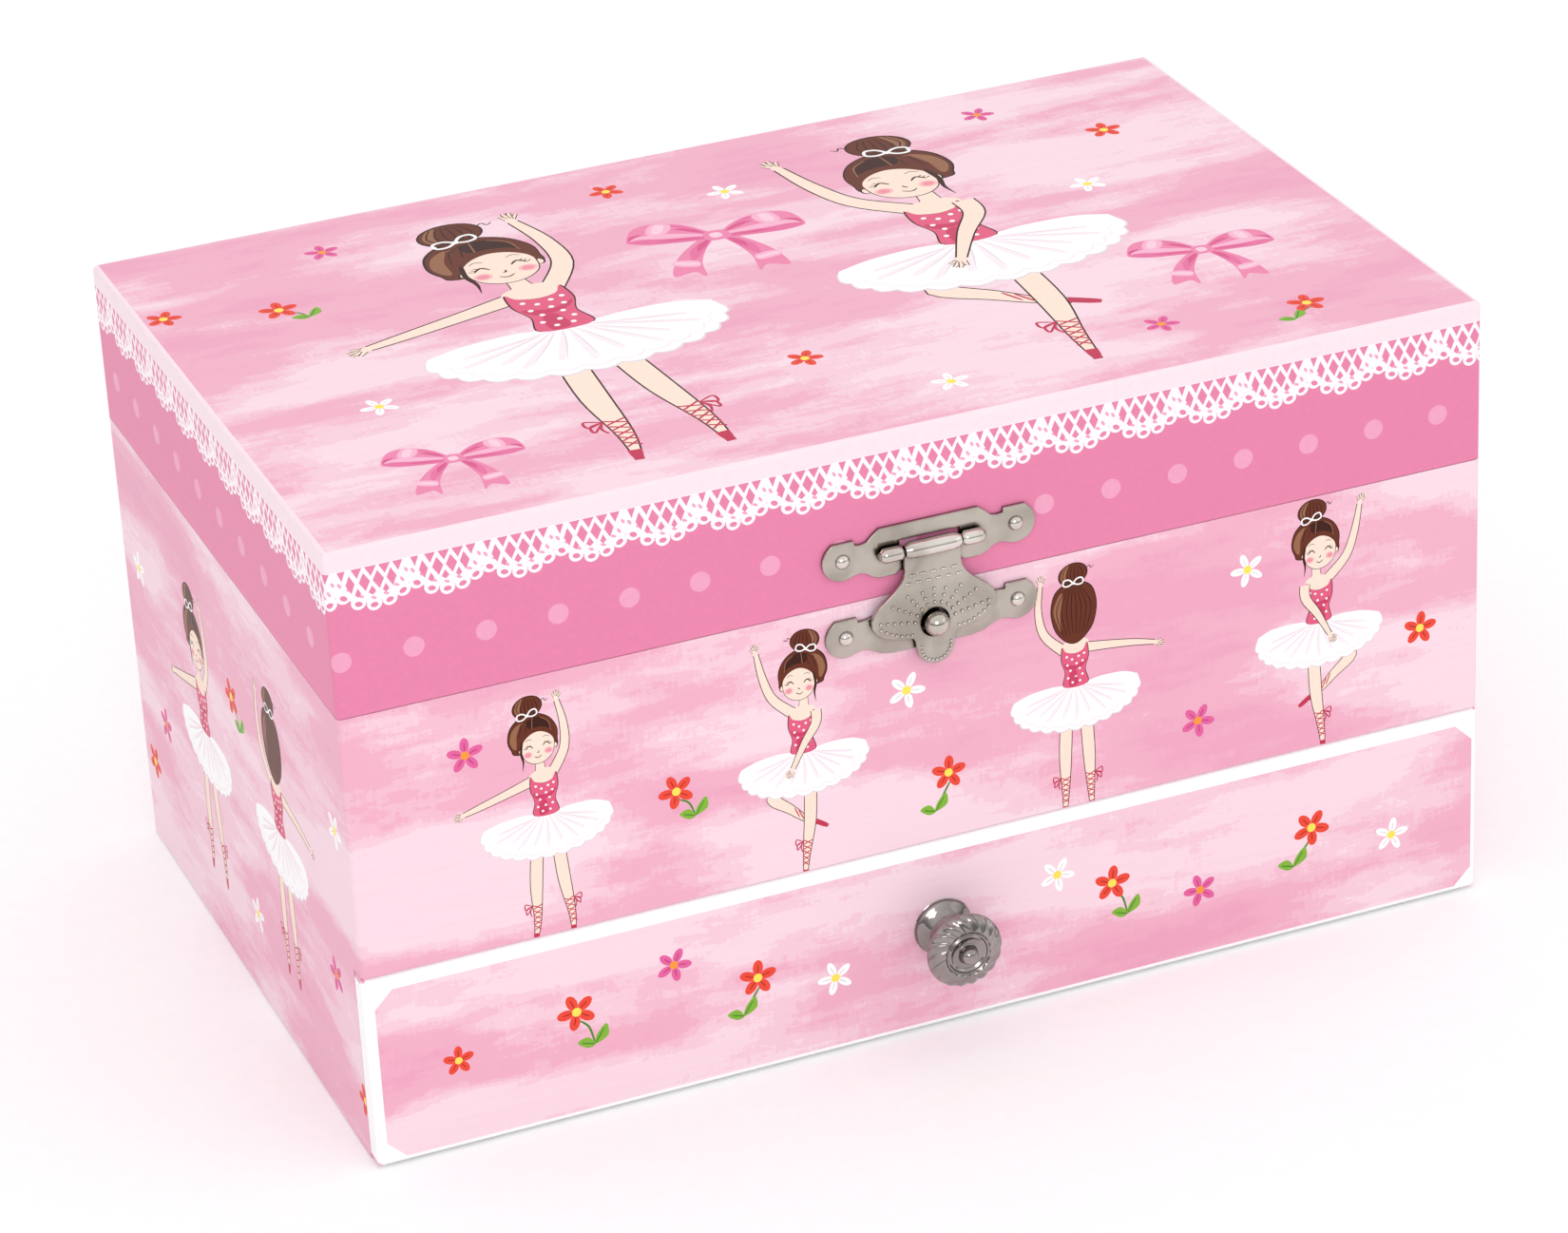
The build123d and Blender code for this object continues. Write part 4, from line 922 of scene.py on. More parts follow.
def draw_scallop(pen, half):
    """One scallop of white net with pink openings, and its looped edge."""
    pen.polygon([(-half, 0), (-half, -3.9), (-4.3, -4.8), (-2.4, -5.6), (0, -6.0), (2.4, -5.6),
                 (4.3, -4.8), (half, -3.9), (half, 0)], THREAD)
    loops = [(-4.6, -4.2), (-2.4, -5.6), (0, -6.2), (2.4, -5.9), (4.5, -4.9)]
    for u, v in loops:
        pen.ellipse(u, v, 1.2, 1.2, THREAD, 0, 14)
    for u, v in loops:
        pen.ellipse(u, v - 0.25, 0.62, 0.42, BAND, 6 * u, 10)
        pen.ellipse(0.8 * u, v + 0.9, 0.5, 0.24, BAND_DOT, -25, 6)
    for u, wide in ((-4.7, 0.62), (-2.35, 0.85), (-0.2, 0.92), (1.95, 0.92), (4.0, 0.8)):
        pen.polygon([(u - wide, -0.12), (u, -1.75), (u + wide, -0.12)], BAND)
    for u, wide in ((-3.45, 0.7), (-1.25, 0.86), (0.9, 0.88), (2.95, 0.76)):
        pen.polygon([(u - wide, -2.5), (u - 0.1, -1.0), (u + wide, -2.5), (u + 0.1, -4.0)], BAND)
    for u, wide in ((-2.35, 0.5), (-0.15, 0.6), (1.95, 0.5)):
        pen.polygon([(u - wide, -4.3), (u, -3.3), (u + wide, -4.3), (u, -4.8)], BAND)
    for u, v, size in ((-5.1, -2.3, 0.5), (4.5, -3.3, 0.5), (5.2, -1.9, 0.45)):
        pen.ellipse(u, v, size, 0.24, BAND_DOT, -58, 8)


def draw_case(shapes):
    left, right = CORNERS[0] + D / 2, CORNERS[2] + D / 2
    front, back = front_s(0), CORNERS[3] + W / 2
    for draw, x, y, scale, flip in (
            (draw_dancer_open, front - 64, 54.8, 0.424, 1),
            (draw_dancer_turn, front - 22, 54.9, 0.431, 1),
            (draw_dancer_back, front + 24, 55.2, 0.443, 1),
            (draw_dancer_turn, front + 66.5, 56.2, 0.448, -1)):
        draw(Pen(shapes, x, y, scale, flip))
    draw_flowers(shapes, [
        ("rose", -76, 67.5, 3.0), ("red", -43, 53, 3.0, (3.0, -5.0)), ("white", -4.5, 61, 3.2),
        ("red", 2, 45, 3.0, (-2.5, -6.5)), ("white", 54, 68, 3.0), ("rose", 45, 43.5, 3.0),
        ("red", 84.5, 50.5, 3.0)], front)
    for middle, flip in ((left, 1), (right, -1)):
        draw_dancer_open(Pen(shapes, middle - 18, 39.3, 0.535, flip))
        draw_dancer_back(Pen(shapes, middle + 22, 40.5, 0.53, flip))
        draw_flowers(shapes, [
            ("white", -50.5, 54, 3.2), ("red", 0.5, 54, 3.2, (3.5, -4.5)), ("white", 53, 56, 3.2),
            ("rose", -43.5, 28, 3.2), ("rose", 46.5, 27.5, 3.2), ("red", -54, 16, 3.2),
            ("white", 3.5, 16, 3.2), ("red", 56, 10, 3.0)], middle)
    draw_dancer_turn(Pen(shapes, back - 38, 39.5, 0.56))
    draw_dancer_open(Pen(shapes, back + 42, 39.5, 0.56, -1))
    draw_flowers(shapes, [
        ("red", -78, 52, 3.2, (3.0, -5.0)), ("white", -66, 20, 3.2), ("rose", -2, 60, 3.2),
        ("white", 79, 55, 3.2), ("red", 72, 20, 3.2, (-3.0, -5.5)), ("rose", -84, 30, 3.0),
        ("red", 10, 8, 3.0), ("white", -16, 9, 3.0)], back)


def draw_top(shapes):
    draw_dancer_open(Pen(shapes, -35, 0))
    draw_dancer_turn(Pen(shapes, 35, 1))
    for x, y, scale in ((-0.5, 22, 1.03), (-67, -38, 0.76), (66, -21, 0.84)):
        draw_bow(Pen(shapes, x, y, scale, steps=6))
    draw_flowers(shapes, [
        ("rose", -60, 46.5, 3.0), ("red", -10, 48, 3.0), ("red", -91, 33, 3.0),
        ("red", -73.5, 27.5, 3.3, (3.5, -4.5)), ("white", -71, -15, 3.2),
        ("red", -6.5, -29.5, 3.0), ("white", 10, -48, 3.2), ("white", 7.5, 38.5, 3.2),
        ("rose", 58, 49, 3.0), ("red", 74, 32.5, 3.2), ("white", 61.5, 12.5, 3.2),
        ("rose", 47.5, -44, 3.0), ("red", 71, -47.5, 3.2, (-4.0, -4.5))])


def draw_drawer(shapes):
    """Flowers inside a thin white frame with cut corners."""
    left, right = -W / 2 + 1.5, W / 2 - 0.9
    low, high, cut, spare = DRAWER_FOOT + 0.9, DRAWER_TOP - 2.4, 3.0, 6
    shapes.append((rect(-W / 2 - spare, W / 2 + spare, DRAWER_FOOT - spare, DRAWER_TOP + spare),
                   WHITE))
    shapes.append(([(left + cut, low), (right - cut, low), (right, low + cut), (right, high - cut),
                    (right - cut, high), (left + cut, high), (left, high - cut),
                    (left, low + cut)], None))
    draw_flowers(shapes, [
        ("red", -81, 15.7, 2.6), ("red", -61.5, 19, 3.3, (2.5, -6.0)), ("rose", -45.2, 23, 3.0),
        ("red", -31.5, 17, 3.2, (-2.5, -6.0)), ("white", -18.5, 13.5, 3.1),
        ("white", 20, 22, 3.1), ("red", 29.5, 18, 3.2, (2.5, -6.0)), ("rose", 45, 12.7, 3.0),
        ("red", 65, 19, 3.3, (-3.0, -6.0)), ("white", 79.5, 14, 3.1)])


# ---- wrap the box --------------------------------------------------------------------------
def corner_creases(low, high):
    """Upright lines across the rounded corners of the walls."""
    lines = []
    for s in CORNERS:
        for share in (-1, -0.5, 0, 0.5, 1):
            x = s + share * EDGE
            if CORNERS[0] < x < CORNERS[-1]:
                lines.append([(x, low), (x, high)])
    return lines


def quarter(cx, cy, sx, sy, radius):
    """Points of a quarter circle that goes from sideways to up or down."""
    return [(cx + sx * radius * cos(a), cy + sy * radius * sin(a))
            for a in angles(4, sweep=pi / 2, ends=True)]


def drawer_outline():
    """Outline of the drawer's paper, with flaps over the four edges, and the knob's hole."""
    flap = ROLL + DRAWER_T - EDGE
    outline = []
    for sx, sy in ((1, 1), (-1, 1), (-1, -1), (1, -1)):
        cx, cy = sx * FLAT_X, FLAT_HIGH if sy > 0 else FLAT_LOW
        corner = [(cx + sx * flap, cy), *quarter(cx, cy, sx, sy, ROLL), (cx, cy + sy * flap)]
        outline += corner if sx * sy > 0 else corner[::-1]
    return outline, [disc(0, centre("drawer_knob")[2], 1.7)]


def drawer_creases():
    """Lines along and across the rolled edges and corners of the drawer's paper."""
    lines = []
    for d in (ROLL * share for share in shares(4)):
        for s in (-FLAT_X - d, FLAT_X + d):
            lines.append([(s, FLAT_LOW), (s, FLAT_HIGH)])
        for t in (FLAT_LOW - d, FLAT_HIGH + d):
            lines.append([(-FLAT_X, t), (FLAT_X, t)])
    for cx, sx in ((FLAT_X, 1), (-FLAT_X, -1)):
        for cy, sy in ((FLAT_HIGH, 1), (FLAT_LOW, -1)):
            lines.append([(cx, cy), (cx + sx * ROLL, cy)])
            lines.append([(cx, cy), (cx, cy + sy * ROLL)])
            ring = quarter(cx, cy, sx, sy, ROLL / 2)
            lines += [[p, q] for p, q in zip(ring, ring[1:])]
    return lines


def wrap_box():
    end, cut = CORNERS[-1], DRAWER_T + 0.2
    case = [(0, 0), (CORNERS[1] - cut, 0), (CORNERS[1] - cut, FRONT_FOOT),
            (CORNERS[2] + cut, FRONT_FOOT), (CORNERS[2] + cut, 0), (end, 0), (end, RIM), (0, RIM)]
    key_hole = disc(CORNERS[3] + W / 2, centre("winding_arbor")[2], 3.6)
    printed_sheet("print_case", "case", draw_case, case, [key_hole], corner_creases(0, RIM),
                  wall_bend, 64.0)
    band_end = H - EDGE + ROLL
    creases = corner_creases(LID_FOOT, band_end)
    creases += [[(0, t), (end, t)] for t in (H - EDGE + ROLL * share for share in shares(4))]
    printed_sheet("print_lid_band", "lid", draw_band, rect(0, end, LID_FOOT, band_end), [],
                  creases, lid_bend, 47.0)
    top = rect(-FLAT_X, FLAT_X, EDGE - D / 2, D / 2 - EDGE)
    printed_sheet("print_lid_top", "lid", draw_top, top, [], [], top_bend, 136.0)
    printed_sheet("print_drawer", "drawer", draw_drawer, *drawer_outline(), drawer_creases(),
                  drawer_bend, 82.0)


# ---- shaping helpers -----------------------------------------------------------------------
def piece_from(name, shape, material, body, replaced=None):
    """Mesh piece in millimetres that rides on a body and may stand for a node."""
    verts, faces = shape
    mesh = bpy.data.meshes.new(name)
    mesh.from_pydata([Vector(v) * MM for v in verts], [], faces)
    mesh.update()
    bm = bmesh.new()
    bm.from_mesh(mesh)
    bmesh.ops.remove_doubles(bm, verts=bm.verts, dist=1e-7)
    bmesh.ops.recalc_face_normals(bm, faces=bm.faces)
    bm.to_mesh(mesh)
    bm.free()
    mesh.polygons.foreach_set("use_smooth", [True] * len(mesh.polygons))
    mesh.materials.append(material)
    piece = add_object(name, mesh)
    mesh.set_sharp_from_angle(angle=radians(38))
    if body:
        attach(piece, body)
    if replaced:
        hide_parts(replaced)
    return piece


def grid_faces(rows, columns, loop=False):
    """Quads between rings of vertices, with a cap on both ends unless the rings form a loop."""
    total = rows * columns
    faces = []
    for r in range(rows if loop else rows - 1):
        for c in range(columns):
            a, b = r * columns + c, r * columns + (c + 1) % columns
            faces.append((a, b, (b + columns) % total, (a + columns) % total))
    if not loop:
        faces += [tuple(reversed(range(columns))), tuple(range(total - columns, total))]
    return faces


def rings(rows, sides, point, loop=False):
    """Shape made of one ring of points point(row, angle) for every row."""
    verts = [point(row, a) for row in rows for a in angles(sides)]
    return verts, grid_faces(len(rows), sides, loop)


def tube(path, radii, sides):
    """Round bar along a path; radii is one number, or one per point."""
    path = [Vector(p) for p in path]
    if isinstance(radii, (int, float)):
        radii = [radii] * len(path)
    verts = []
    guide = (path[1] - path[0]).normalized().orthogonal().normalized()
    for i, (p, r) in enumerate(zip(path, radii)):
        along = (path[min(i + 1, len(path) - 1)] - path[max(i - 1, 0)]).normalized()
        guide = (guide - along * guide.dot(along)).normalized()
        other = along.cross(guide)
        verts += [p + guide * r * cos(a) + other * r * sin(a) for a in angles(sides)]
    return verts, grid_faces(len(path), sides)


def bar(x0, x1, y, z, radii, steps, sides):
    """Bar along X with eased ends; radii are at the end, one step in, and along the middle."""
    end, near, middle = radii
    return tube([(x0 + (x1 - x0) * t, y, z) for t in shares(steps)],
                [end, near] + [middle] * (steps - 3) + [near, end], sides)


def joined(parts):
    verts, faces = [], []
    for part_verts, part_faces in parts:
        shift = len(verts)
        verts += part_verts
        faces += [tuple(v + shift for v in face) for face in part_faces]
    return verts, faces


def stamping(outlines, back):
    """Stamped plate in the XZ plane with rounded edges; its back face is at y = back."""
    bevel = 0.16
    data = bpy.data.curves.new("outline", "CURVE")
    data.dimensions = "2D"
    data.fill_mode = "BOTH"
    data.extrude = PLATE / 2 - bevel
    data.bevel_depth = bevel
    data.bevel_resolution = 2
    data.offset = -bevel
    for outline in outlines:
        spline = data.splines.new("POLY")
        spline.points.add(len(outline) - 1)
        for point, (x, y) in zip(spline.points, outline):
            point.co = (x, y, 0, 1)
        spline.use_cyclic_u = True
    holder = add_object("outline", data)
    bpy.context.view_layer.update()
    mesh = bpy.data.meshes.new_from_object(holder)
    verts = [(v.co.x, back - PLATE / 2 - v.co.z, v.co.y) for v in mesh.vertices]
    faces = [tuple(p.vertices) for p in mesh.polygons]
    bpy.data.objects.remove(holder)
    bpy.data.meshes.remove(mesh)
    bpy.data.curves.remove(data)
    return verts, faces


def mirrored(half):
    """Whole outline from its right half, which starts and ends on the middle line."""
    return half + [(-x, z) for x, z in reversed(half) if x > 1e-6]


def arc(x, z, radius, start, end, steps):
    return [(x + radius * cos(a), z + radius * sin(a))
            for a in angles(steps, radians(start), radians(end - start), ends=True)]


def bead(x, y, z, radius, height, stretch=1.0, rows=4, sides=10):
    """Low dome on a face that looks towards -Y."""
    def point(k, b):
        a = pi / 2 * k / (rows - 1)
        r = radius * cos(a) if k < rows - 1 else 0.02
        return (x + r * stretch * cos(b), y - height * sin(a), z + r * sin(b))

    return rings(range(rows), sides, point)


# ---- latch ---------------------------------------------------------------------------------
PLATE = 0.8                                 # thickness of the stamped plates


def nickel(name, parts, body, material=NICKEL, replaced=None):
    piece_from(name, joined(parts), material, body, replaced)


def make_latch():
    """Upper plate with the pin's lugs, beaded hasp, keeper plate, and studs in their ears."""
    front = span("latch_plate")[1].y
    _, pin_y, pin_z = centre("latch_pin")
    stud_z = centre("keeper_stud")[2]
    nail_low, nail_high = span("latch_nails")
    nail_radius, play = 1.6, 0.3            # play between the upper plate and the hasp
    ear_x = (nail_high.x - nail_low.x) / 2 - nail_radius
    ear = [(12.2, 2.2), (12.4, 3.0), (16.0, 3.0), (16.5, 2.5), *arc(ear_x, 0, 3.3, 40, -118, 12)]
    half = [(0, 4.1), (8.2, 4.1), (9.4, 3.2), (10.3, 2.3), (11.3, 2.1), *ear, (11.6, -2.6),
            (10.6, -2.9), (9.6, -3.6), (8.5, -4.1), (5.6, -4.1), (5.1, -3.6), (0, -3.6)]
    window = [(-4.95, -1.5), (4.95, -1.5), (4.95, 1.5), (-4.95, 1.5)]
    plate = [stamping([[(x, z + pin_z) for x, z in ring] for ring in (mirrored(half), window)],
                      front)]
    lugs = []
    for x0, x1 in ((-8.6, -4.8), (4.8, 8.6)):
        lugs.append(bar(x0, x1, pin_y, pin_z, (0.66, 1.14, 1.2), 8, 32))
        plate.append(bar(x0, x1, pin_y + 0.75, pin_z - 0.45, (0.5, 0.8, 0.85), 8, 16))
    nickel("latch_upper", plate, "lid", replaced="latch_plate")
    nickel("latch_lugs", lugs, "lid", POLISHED)
    make_hasp(front - PLATE - play, pin_y, pin_z, stud_z)
    half = [(0, 3.0), (8.4, 3.0), (10.6, 2.3), *ear, (11.4, -2.6), (10.0, -3.2), (8.6, -3.9),
            (6.6, -4.3), (0, -4.3)]
    outline = [(x, z + stud_z) for x, z in mirrored(half)]
    keeper = stamping([outline, disc(0, stud_z, 1.0, 20)[::-1]], front)
    nickel("latch_keeper", [keeper], "case", replaced="keeper_plate")
    for name, z, body, node in (("latch_studs", pin_z, "lid", "latch_nails"),
                                ("keeper_studs", stud_z, "case", "keeper_nails")):
        heads = [bead(x, front - PLATE + 0.05, z, 1.2, 0.95, rows=9, sides=32)
                 for x in (-ear_x, ear_x)]
        nickel(name, heads, body, POLISHED, node)


def make_hasp(back, pin_y, pin_z, stud_z):
    """Flap with a rolled top and beads fanning out round the stud; heights as on the box."""
    face, tip_z = back - PLATE, 68.6
    half = [(0, pin_z), (4.65, pin_z), (4.65, 82.2), (4.85, 81.2), (5.4, 80.2), (6.4, 79.1),
            (7.6, 78.1), (8.9, 77.1), (9.9, 76.0), (10.4, 74.8), (10.35, 73.6), (9.7, 72.5),
            (8.5, 71.6), (6.9, 71.0), (5.2, 70.65), (3.7, 70.5), (3.3, 69.9),
            *arc(0, tip_z, 3.1, 0, -90, 8)]
    leaf = stamping([mirrored(half), disc(0, stud_z, 2.35, 36)[::-1]], back)
    beads = []
    for dashes, z, reach in ((5, 81.3, 3.5), (6, 80.0, 4.2)):
        beads += [bead(2 * reach * t - reach, face, z, 0.22, 0.26, 2.8)
                  for t in shares(dashes - 1)]
    first, spacing, longest = 3.4, 1.15, 8  # rays of beads, inside an ellipse below fan_top
    fan_top, fan_z, fan_wide, fan_tall = 78.9, 73.2, 9.6, 5.6
    for angle in angles(9, radians(10), pi):
        for k in range(longest):
            reach = first + spacing * k
            x, z = reach * cos(angle), stud_z + reach * sin(angle)
            if z > fan_top or hypot(x / fan_wide, (z - fan_z) / fan_tall) > 1:
                break
            beads.append(bead(x, face, z, 0.3, 0.34))
    for side in (-1, 1):
        beads += [bead(side * (3.9 + 0.85 * k), face, 71.2 + 0.055 * k * k, 0.28, 0.28)
                  for k in range(7)]
    beads += [bead(x, face, z, 0.26, 0.26) for x, z in arc(0, tip_z, 2.5, 4, -184, 12)]
    nickel("latch_hasp", [leaf], "hasp", replaced="hasp")
    roll = bar(-4.6, 4.6, pin_y, pin_z, (0.9, 1.28, 1.35), 12, 32)
    nickel("hasp_roll", [roll], "hasp", POLISHED)
    nickel("hasp_beads", beads, "hasp", POLISHED)


# ---- knob ----------------------------------------------------------------------------------
def make_knob():
    """Flange, waist and a broad head whose face is fluted like a twisted rope round a rosette."""
    profile = [(0.0, 0.0), (4.6, 0.0), (4.75, 0.25), (4.7, 0.8), (4.3, 1.15), (3.8, 1.5),
               (3.2, 2.1), (2.85, 2.9), (2.7, 3.8), (2.75, 4.7), (3.05, 5.6), (3.7, 6.4),
               (4.6, 7.0), (5.4, 7.35), (5.9, 7.65), (6.2, 8.05), (6.27, 8.5), (6.2, 8.95),
               (5.95, 9.35), (5.6, 9.65), (5.1, 9.9), (4.6, 10.1), (4.15, 10.2), (3.85, 10.05),
               (3.6, 9.85), (3.4, 9.8), (3.2, 9.95), (3.0, 10.1), (2.8, 9.95), (2.5, 9.75),
               (2.0, 9.7), (1.65, 9.8), (1.5, 10.1), (1.4, 10.6), (1.25, 11.05), (0.95, 11.4),
               (0.5, 11.64), (0.0, 11.7)]
    flutes, widest, rosette, depth = 18, 8.5, 3.7, 0.23
    x, _, z = centre("drawer_knob")
    foot = span("drawer_knob")[1].y

    def point(row, a):
        """The ropes deepen out from the rosette and on from the widest place."""
        r, h = max(row[0], 0.0), row[1]
        share = limited((r - rosette) / 0.8) * limited((h - widest) / 0.7)
        wave = sin(flutes * a + (h - widest) * 1.9 + (6.3 - r) * 1.6)
        r += depth * share * (wave - 1)
        return (x + r * cos(a), foot - h, z + r * sin(a))

    nickel("drawer_pull", [rings(smooth(profile, False, 3), 264, point)], "drawer", CHROME,
           "drawer_knob")


# ---- soft goods ----------------------------------------------------------------------------
def ripple(x, y, size, seed):
    """Smooth wandering value from -1 to 1, with bumps of about the given size."""
    return noise.noise(Vector((x / size, y / size, seed)))


def make_ring_rolls():
    """Foam rolls wrapped in velvet, side by side; a ring is pushed between two of them."""
    low, high = span("ring_rolls")
    count, gap = 9, 0.12
    pitch = (high.y - low.y) / count
    half = pitch / 2 - gap
    shoulder = high.z - 0.15 - half
    flank = [(-half * 0.86, low.z + 0.05), (-half * 0.97, low.z + 1.2),
             (-half * 0.93, low.z + 3.0), (-half * 0.97, low.z + 5.2)]
    crown = [(-half * cos(a), shoulder + half * sin(a))
             for a in angles(22, sweep=pi, ends=True)]
    section = flank + crown + [(-y, z) for y, z in reversed(flank)]
    places = [low.x + (high.x - low.x) * t for t in shares(72)]
    parts = []
    for roll in range(count):
        middle = low.y + pitch * (roll + 0.5)
        verts = []
        for x in places:
            edge = min(x - low.x, high.x - x)
            shrink = 0.80 + 0.20 * sqrt(1 - max(0.0, 1 - edge / 2.4) ** 2)
            for y, z in section:
                up = (z - low.z) / (high.z - low.z)
                gather = 0.16 * exp(-edge / 2.5) * sin(y * 5.1 + roll)
                crease = 0.20 * ripple(x + 9 * roll, y * 2.2, 5.5, roll)
                dent = 0.28 * abs(ripple(x, 7 * roll, 14.0, 3.0 + roll))
                verts.append((
                    x, middle + y * (shrink + 0.012 * ripple(x, z, 6.0, roll)),
                    low.z + (z - low.z) * (shrink - 0.02) + (gather + crease - dent) * up))
        parts.append((verts, grid_faces(len(places), len(section))))
    rolls = piece_from("ring_roll_velvet", joined(parts), PLUSH, "case", "ring_rolls")


def mat(low_x, high_x, low_y, high_y, low_z, high_z, seed):
    """Thin velvet-covered foam mat: turned-down edges, a soft crown and shallow waves."""
    inset, cell = 0.15, 1.3
    x0, x1, y0, y1 = low_x + inset, high_x - inset, low_y + inset, high_y - inset
    columns, rows = int((x1 - x0) / cell), int((y1 - y0) / cell)
    wide, level = columns + 1, (columns + 1) * (rows + 1)
    verts, faces = [], []
    for top in (False, True):
        for y in (y0 + (y1 - y0) * t for t in shares(rows)):
            for x in (x0 + (x1 - x0) * t for t in shares(columns)):
                edge = min(x - x0, x1 - x, y - y0, y1 - y)
                wave = 0.16 * ripple(x, y, 17.0, seed) + 0.10 * ripple(x, y, 5.0, seed + 4)
                rise = 1 - exp(-(edge + 0.25) / 1.5)
                z = low_z + ((high_z - low_z - 0.3 + wave) * rise if top else 0.02)
                verts.append((x, y, z))
    for j in range(rows):
        for a in range(j * wide, j * wide + columns):
            faces.append((a, a + wide, a + wide + 1, a + 1))
            faces.append((level + a, level + a + 1, level + a + wide + 1, level + a + wide))
    rim = [*range(columns), *range(columns, rows * wide, wide),
           *range(level - 1, rows * wide, -1), *range(rows * wide, 0, -wide)]
    faces += [(a, b, level + b, level + a) for a, b in zip(rim, rim[1:] + rim[:1])]
    return verts, faces


def make_mats():
    """Mats in the tray's middle and right wells and in the drawer."""
    low, high = span("tray_lining")
    left_wall, right_wall = span("tray_divider_left"), span("tray_divider_right")
    cover = span("movement_cover")[0]
    middle = mat(left_wall[1].x, right_wall[0].x, low.y, cover.y, low.z, high.z, 1.0)
    right = mat(right_wall[1].x + 0.3, high.x, low.y, high.y, low.z, high.z, 7.0)
    tray = piece_from("tray_velvet", joined([middle, right]), PLUSH, "case",
                      "tray_lining")
    low, high = span("drawer_lining")
    mat_shape = mat(low.x, high.x, low.y, high.y, low.z, high.z, 13.0)
    drawer = piece_from("drawer_velvet", mat_shape, PLUSH, "drawer", "drawer_lining")


def round_rect(half_x, half_y, radius):
    """Points round a rectangle with rounded corners; the count doesn't depend on the size."""
    points = []
    signs = ((1, -1), (1, 1), (-1, 1), (-1, -1))
    for turn, (sx, sy) in enumerate(signs):
        tx, ty = signs[(turn + 1) % 4]
        along = 190 if turn % 2 else 118
        a = radians(90 * turn)
        x, y = half_x - radius, half_y - radius
        points += [(sx * x + radius * cos(b), sy * y + radius * sin(b))
                   for b in angles(10, a - pi / 2, pi / 2)]
        points += [(x * (sx + (tx - sx) * t) + radius * cos(a),
                    y * (sy + (ty - sy) * t) + radius * sin(a)) for t in shares(along)[:-1]]
    return points


def make_lid_padding():
    """Ruched satin over wadding, round the mirror; it looks down at rest."""
    low, high = span("lid_lining")
    glass_low, glass_high = span("lid_mirror")
    over, play, across = 2.7, 0.25, 18      # lap over the mirror; points from edge to edge
    outer = round_rect(high.x - play, high.y - play, 1.6)
    inner = round_rect(glass_high.x - over, glass_high.y - over, 3.0)
    back, face, lap, hem = high.z - 0.05, low.z + 0.08, glass_low.z - 0.06, 0.9
    verts = []
    for s, ((ox, oy), (ix, iy)) in enumerate(zip(outer, inner)):
        pleat = abs(sin(0.5 * s + 1.5 * ripple(s, 0, 9.0, 2.0))) ** 0.55
        pleat = 0.85 * pleat + 0.15 * abs(ripple(s, 3.0, 2.6, 5.0))
        section = []
        for u in shares(across):
            crown = sin(pi * u) ** 0.55 if 0 < u < 1 else 0.0
            fold = pleat + (1 - pleat) * 0.4 * abs(ripple(s, u * 33, 7.0, 8.0))
            base = lap + (back - hem - lap) * u
            section.append((u, base + (face - base) * crown * (0.25 + 0.75 * fold)))
        # At the mirror's edge the back steps down, so that the lap lies over the glass.
        clear = min((edge + 0.15 - abs(i)) / (abs(o) - abs(i))
                    for edge, i, o in ((glass_high.x, ix, ox), (glass_high.y, iy, oy))
                    if abs(o) - abs(i) > 1.0)
        under = lap + 0.03
        section += [(1.0, back), (clear, back), (clear, under), (0.01, under)]
        verts += [(ix + (ox - ix) * u, iy + (oy - iy) * u, z) for u, z in section]
    shape = verts, grid_faces(len(outer), len(section), loop=True)
    padding = piece_from("lid_padding", shape, SATIN, "lid", "lid_lining")


# ---- dancer --------------------------------------------------------------------------------
joint_rows = {row["name"]: row for row in frame["joints"]}
FOOT = 11.4                                 # top of the dancer's cup above the bending centre


def placed(parts):
    """Joins parts drawn in the dancer's own axes (y to the back) and sets them up at rest."""
    spin = joint_rows["dancer_spin"]
    up, right = Vector(spin["axis"]).normalized(), Vector((1.0, 0.0, 0.0))
    turn = Matrix((right, up.cross(right), up)).transposed().to_4x4()
    place = Matrix.Translation(Vector(spin["pos_m"]) / MM) @ turn
    verts, faces = joined(parts)
    return [place @ Vector((x, y, z + FOOT)) for x, y, z in verts], faces


def graded(value, places, values):
    return float(np.interp(value, places, values))


def trunk(z):
    """Half width, half depth and middle of the trunk at a height."""
    table = ((13.0, 1.5, 1.4, 0.1), (14.4, 2.3, 1.9, 0.15), (16.2, 2.5, 2.0, 0.1),
             (18.0, 2.0, 1.6, 0.0), (19.5, 1.6, 1.3, 0.0), (21.2, 1.9, 1.45, 0.0),
             (22.7, 2.2, 1.6, 0.0), (23.8, 2.3, 1.3, 0.05), (24.5, 1.9, 1.05, 0.1),
             (24.95, 1.15, 0.85, 0.1), (25.5, 0.74, 0.70, 0.1), (27.2, 0.66, 0.66, 0.05))
    rows = list(zip(*table))
    return tuple(graded(z, rows[0], row) for row in rows[1:])


def leg_tube(side, points, heights, radii):
    path = smooth([(side * x, y, z) for x, y, z in points], False, 5)
    return tube(path, [graded(z, heights, radii) for _, _, z in path], 18)


def head_point(azimuth, polar, grow=1.0):
    """Point of the head; azimuth 0 is the face, polar 0 the chin and pi the crown."""
    low = max(0.0, cos(polar))
    wide = 2.25 * (1 - 0.24 * low ** 1.5)
    return (grow * wide * sin(polar) * sin(azimuth),
            -grow * 2.35 * sin(polar) * cos(azimuth) - 0.3 * low,
            28.75 - grow * 2.7 * cos(polar))


def skin_point(z, a):
    rx, ry, y = trunk(z)
    return rx * cos(a), y + ry * sin(a), z


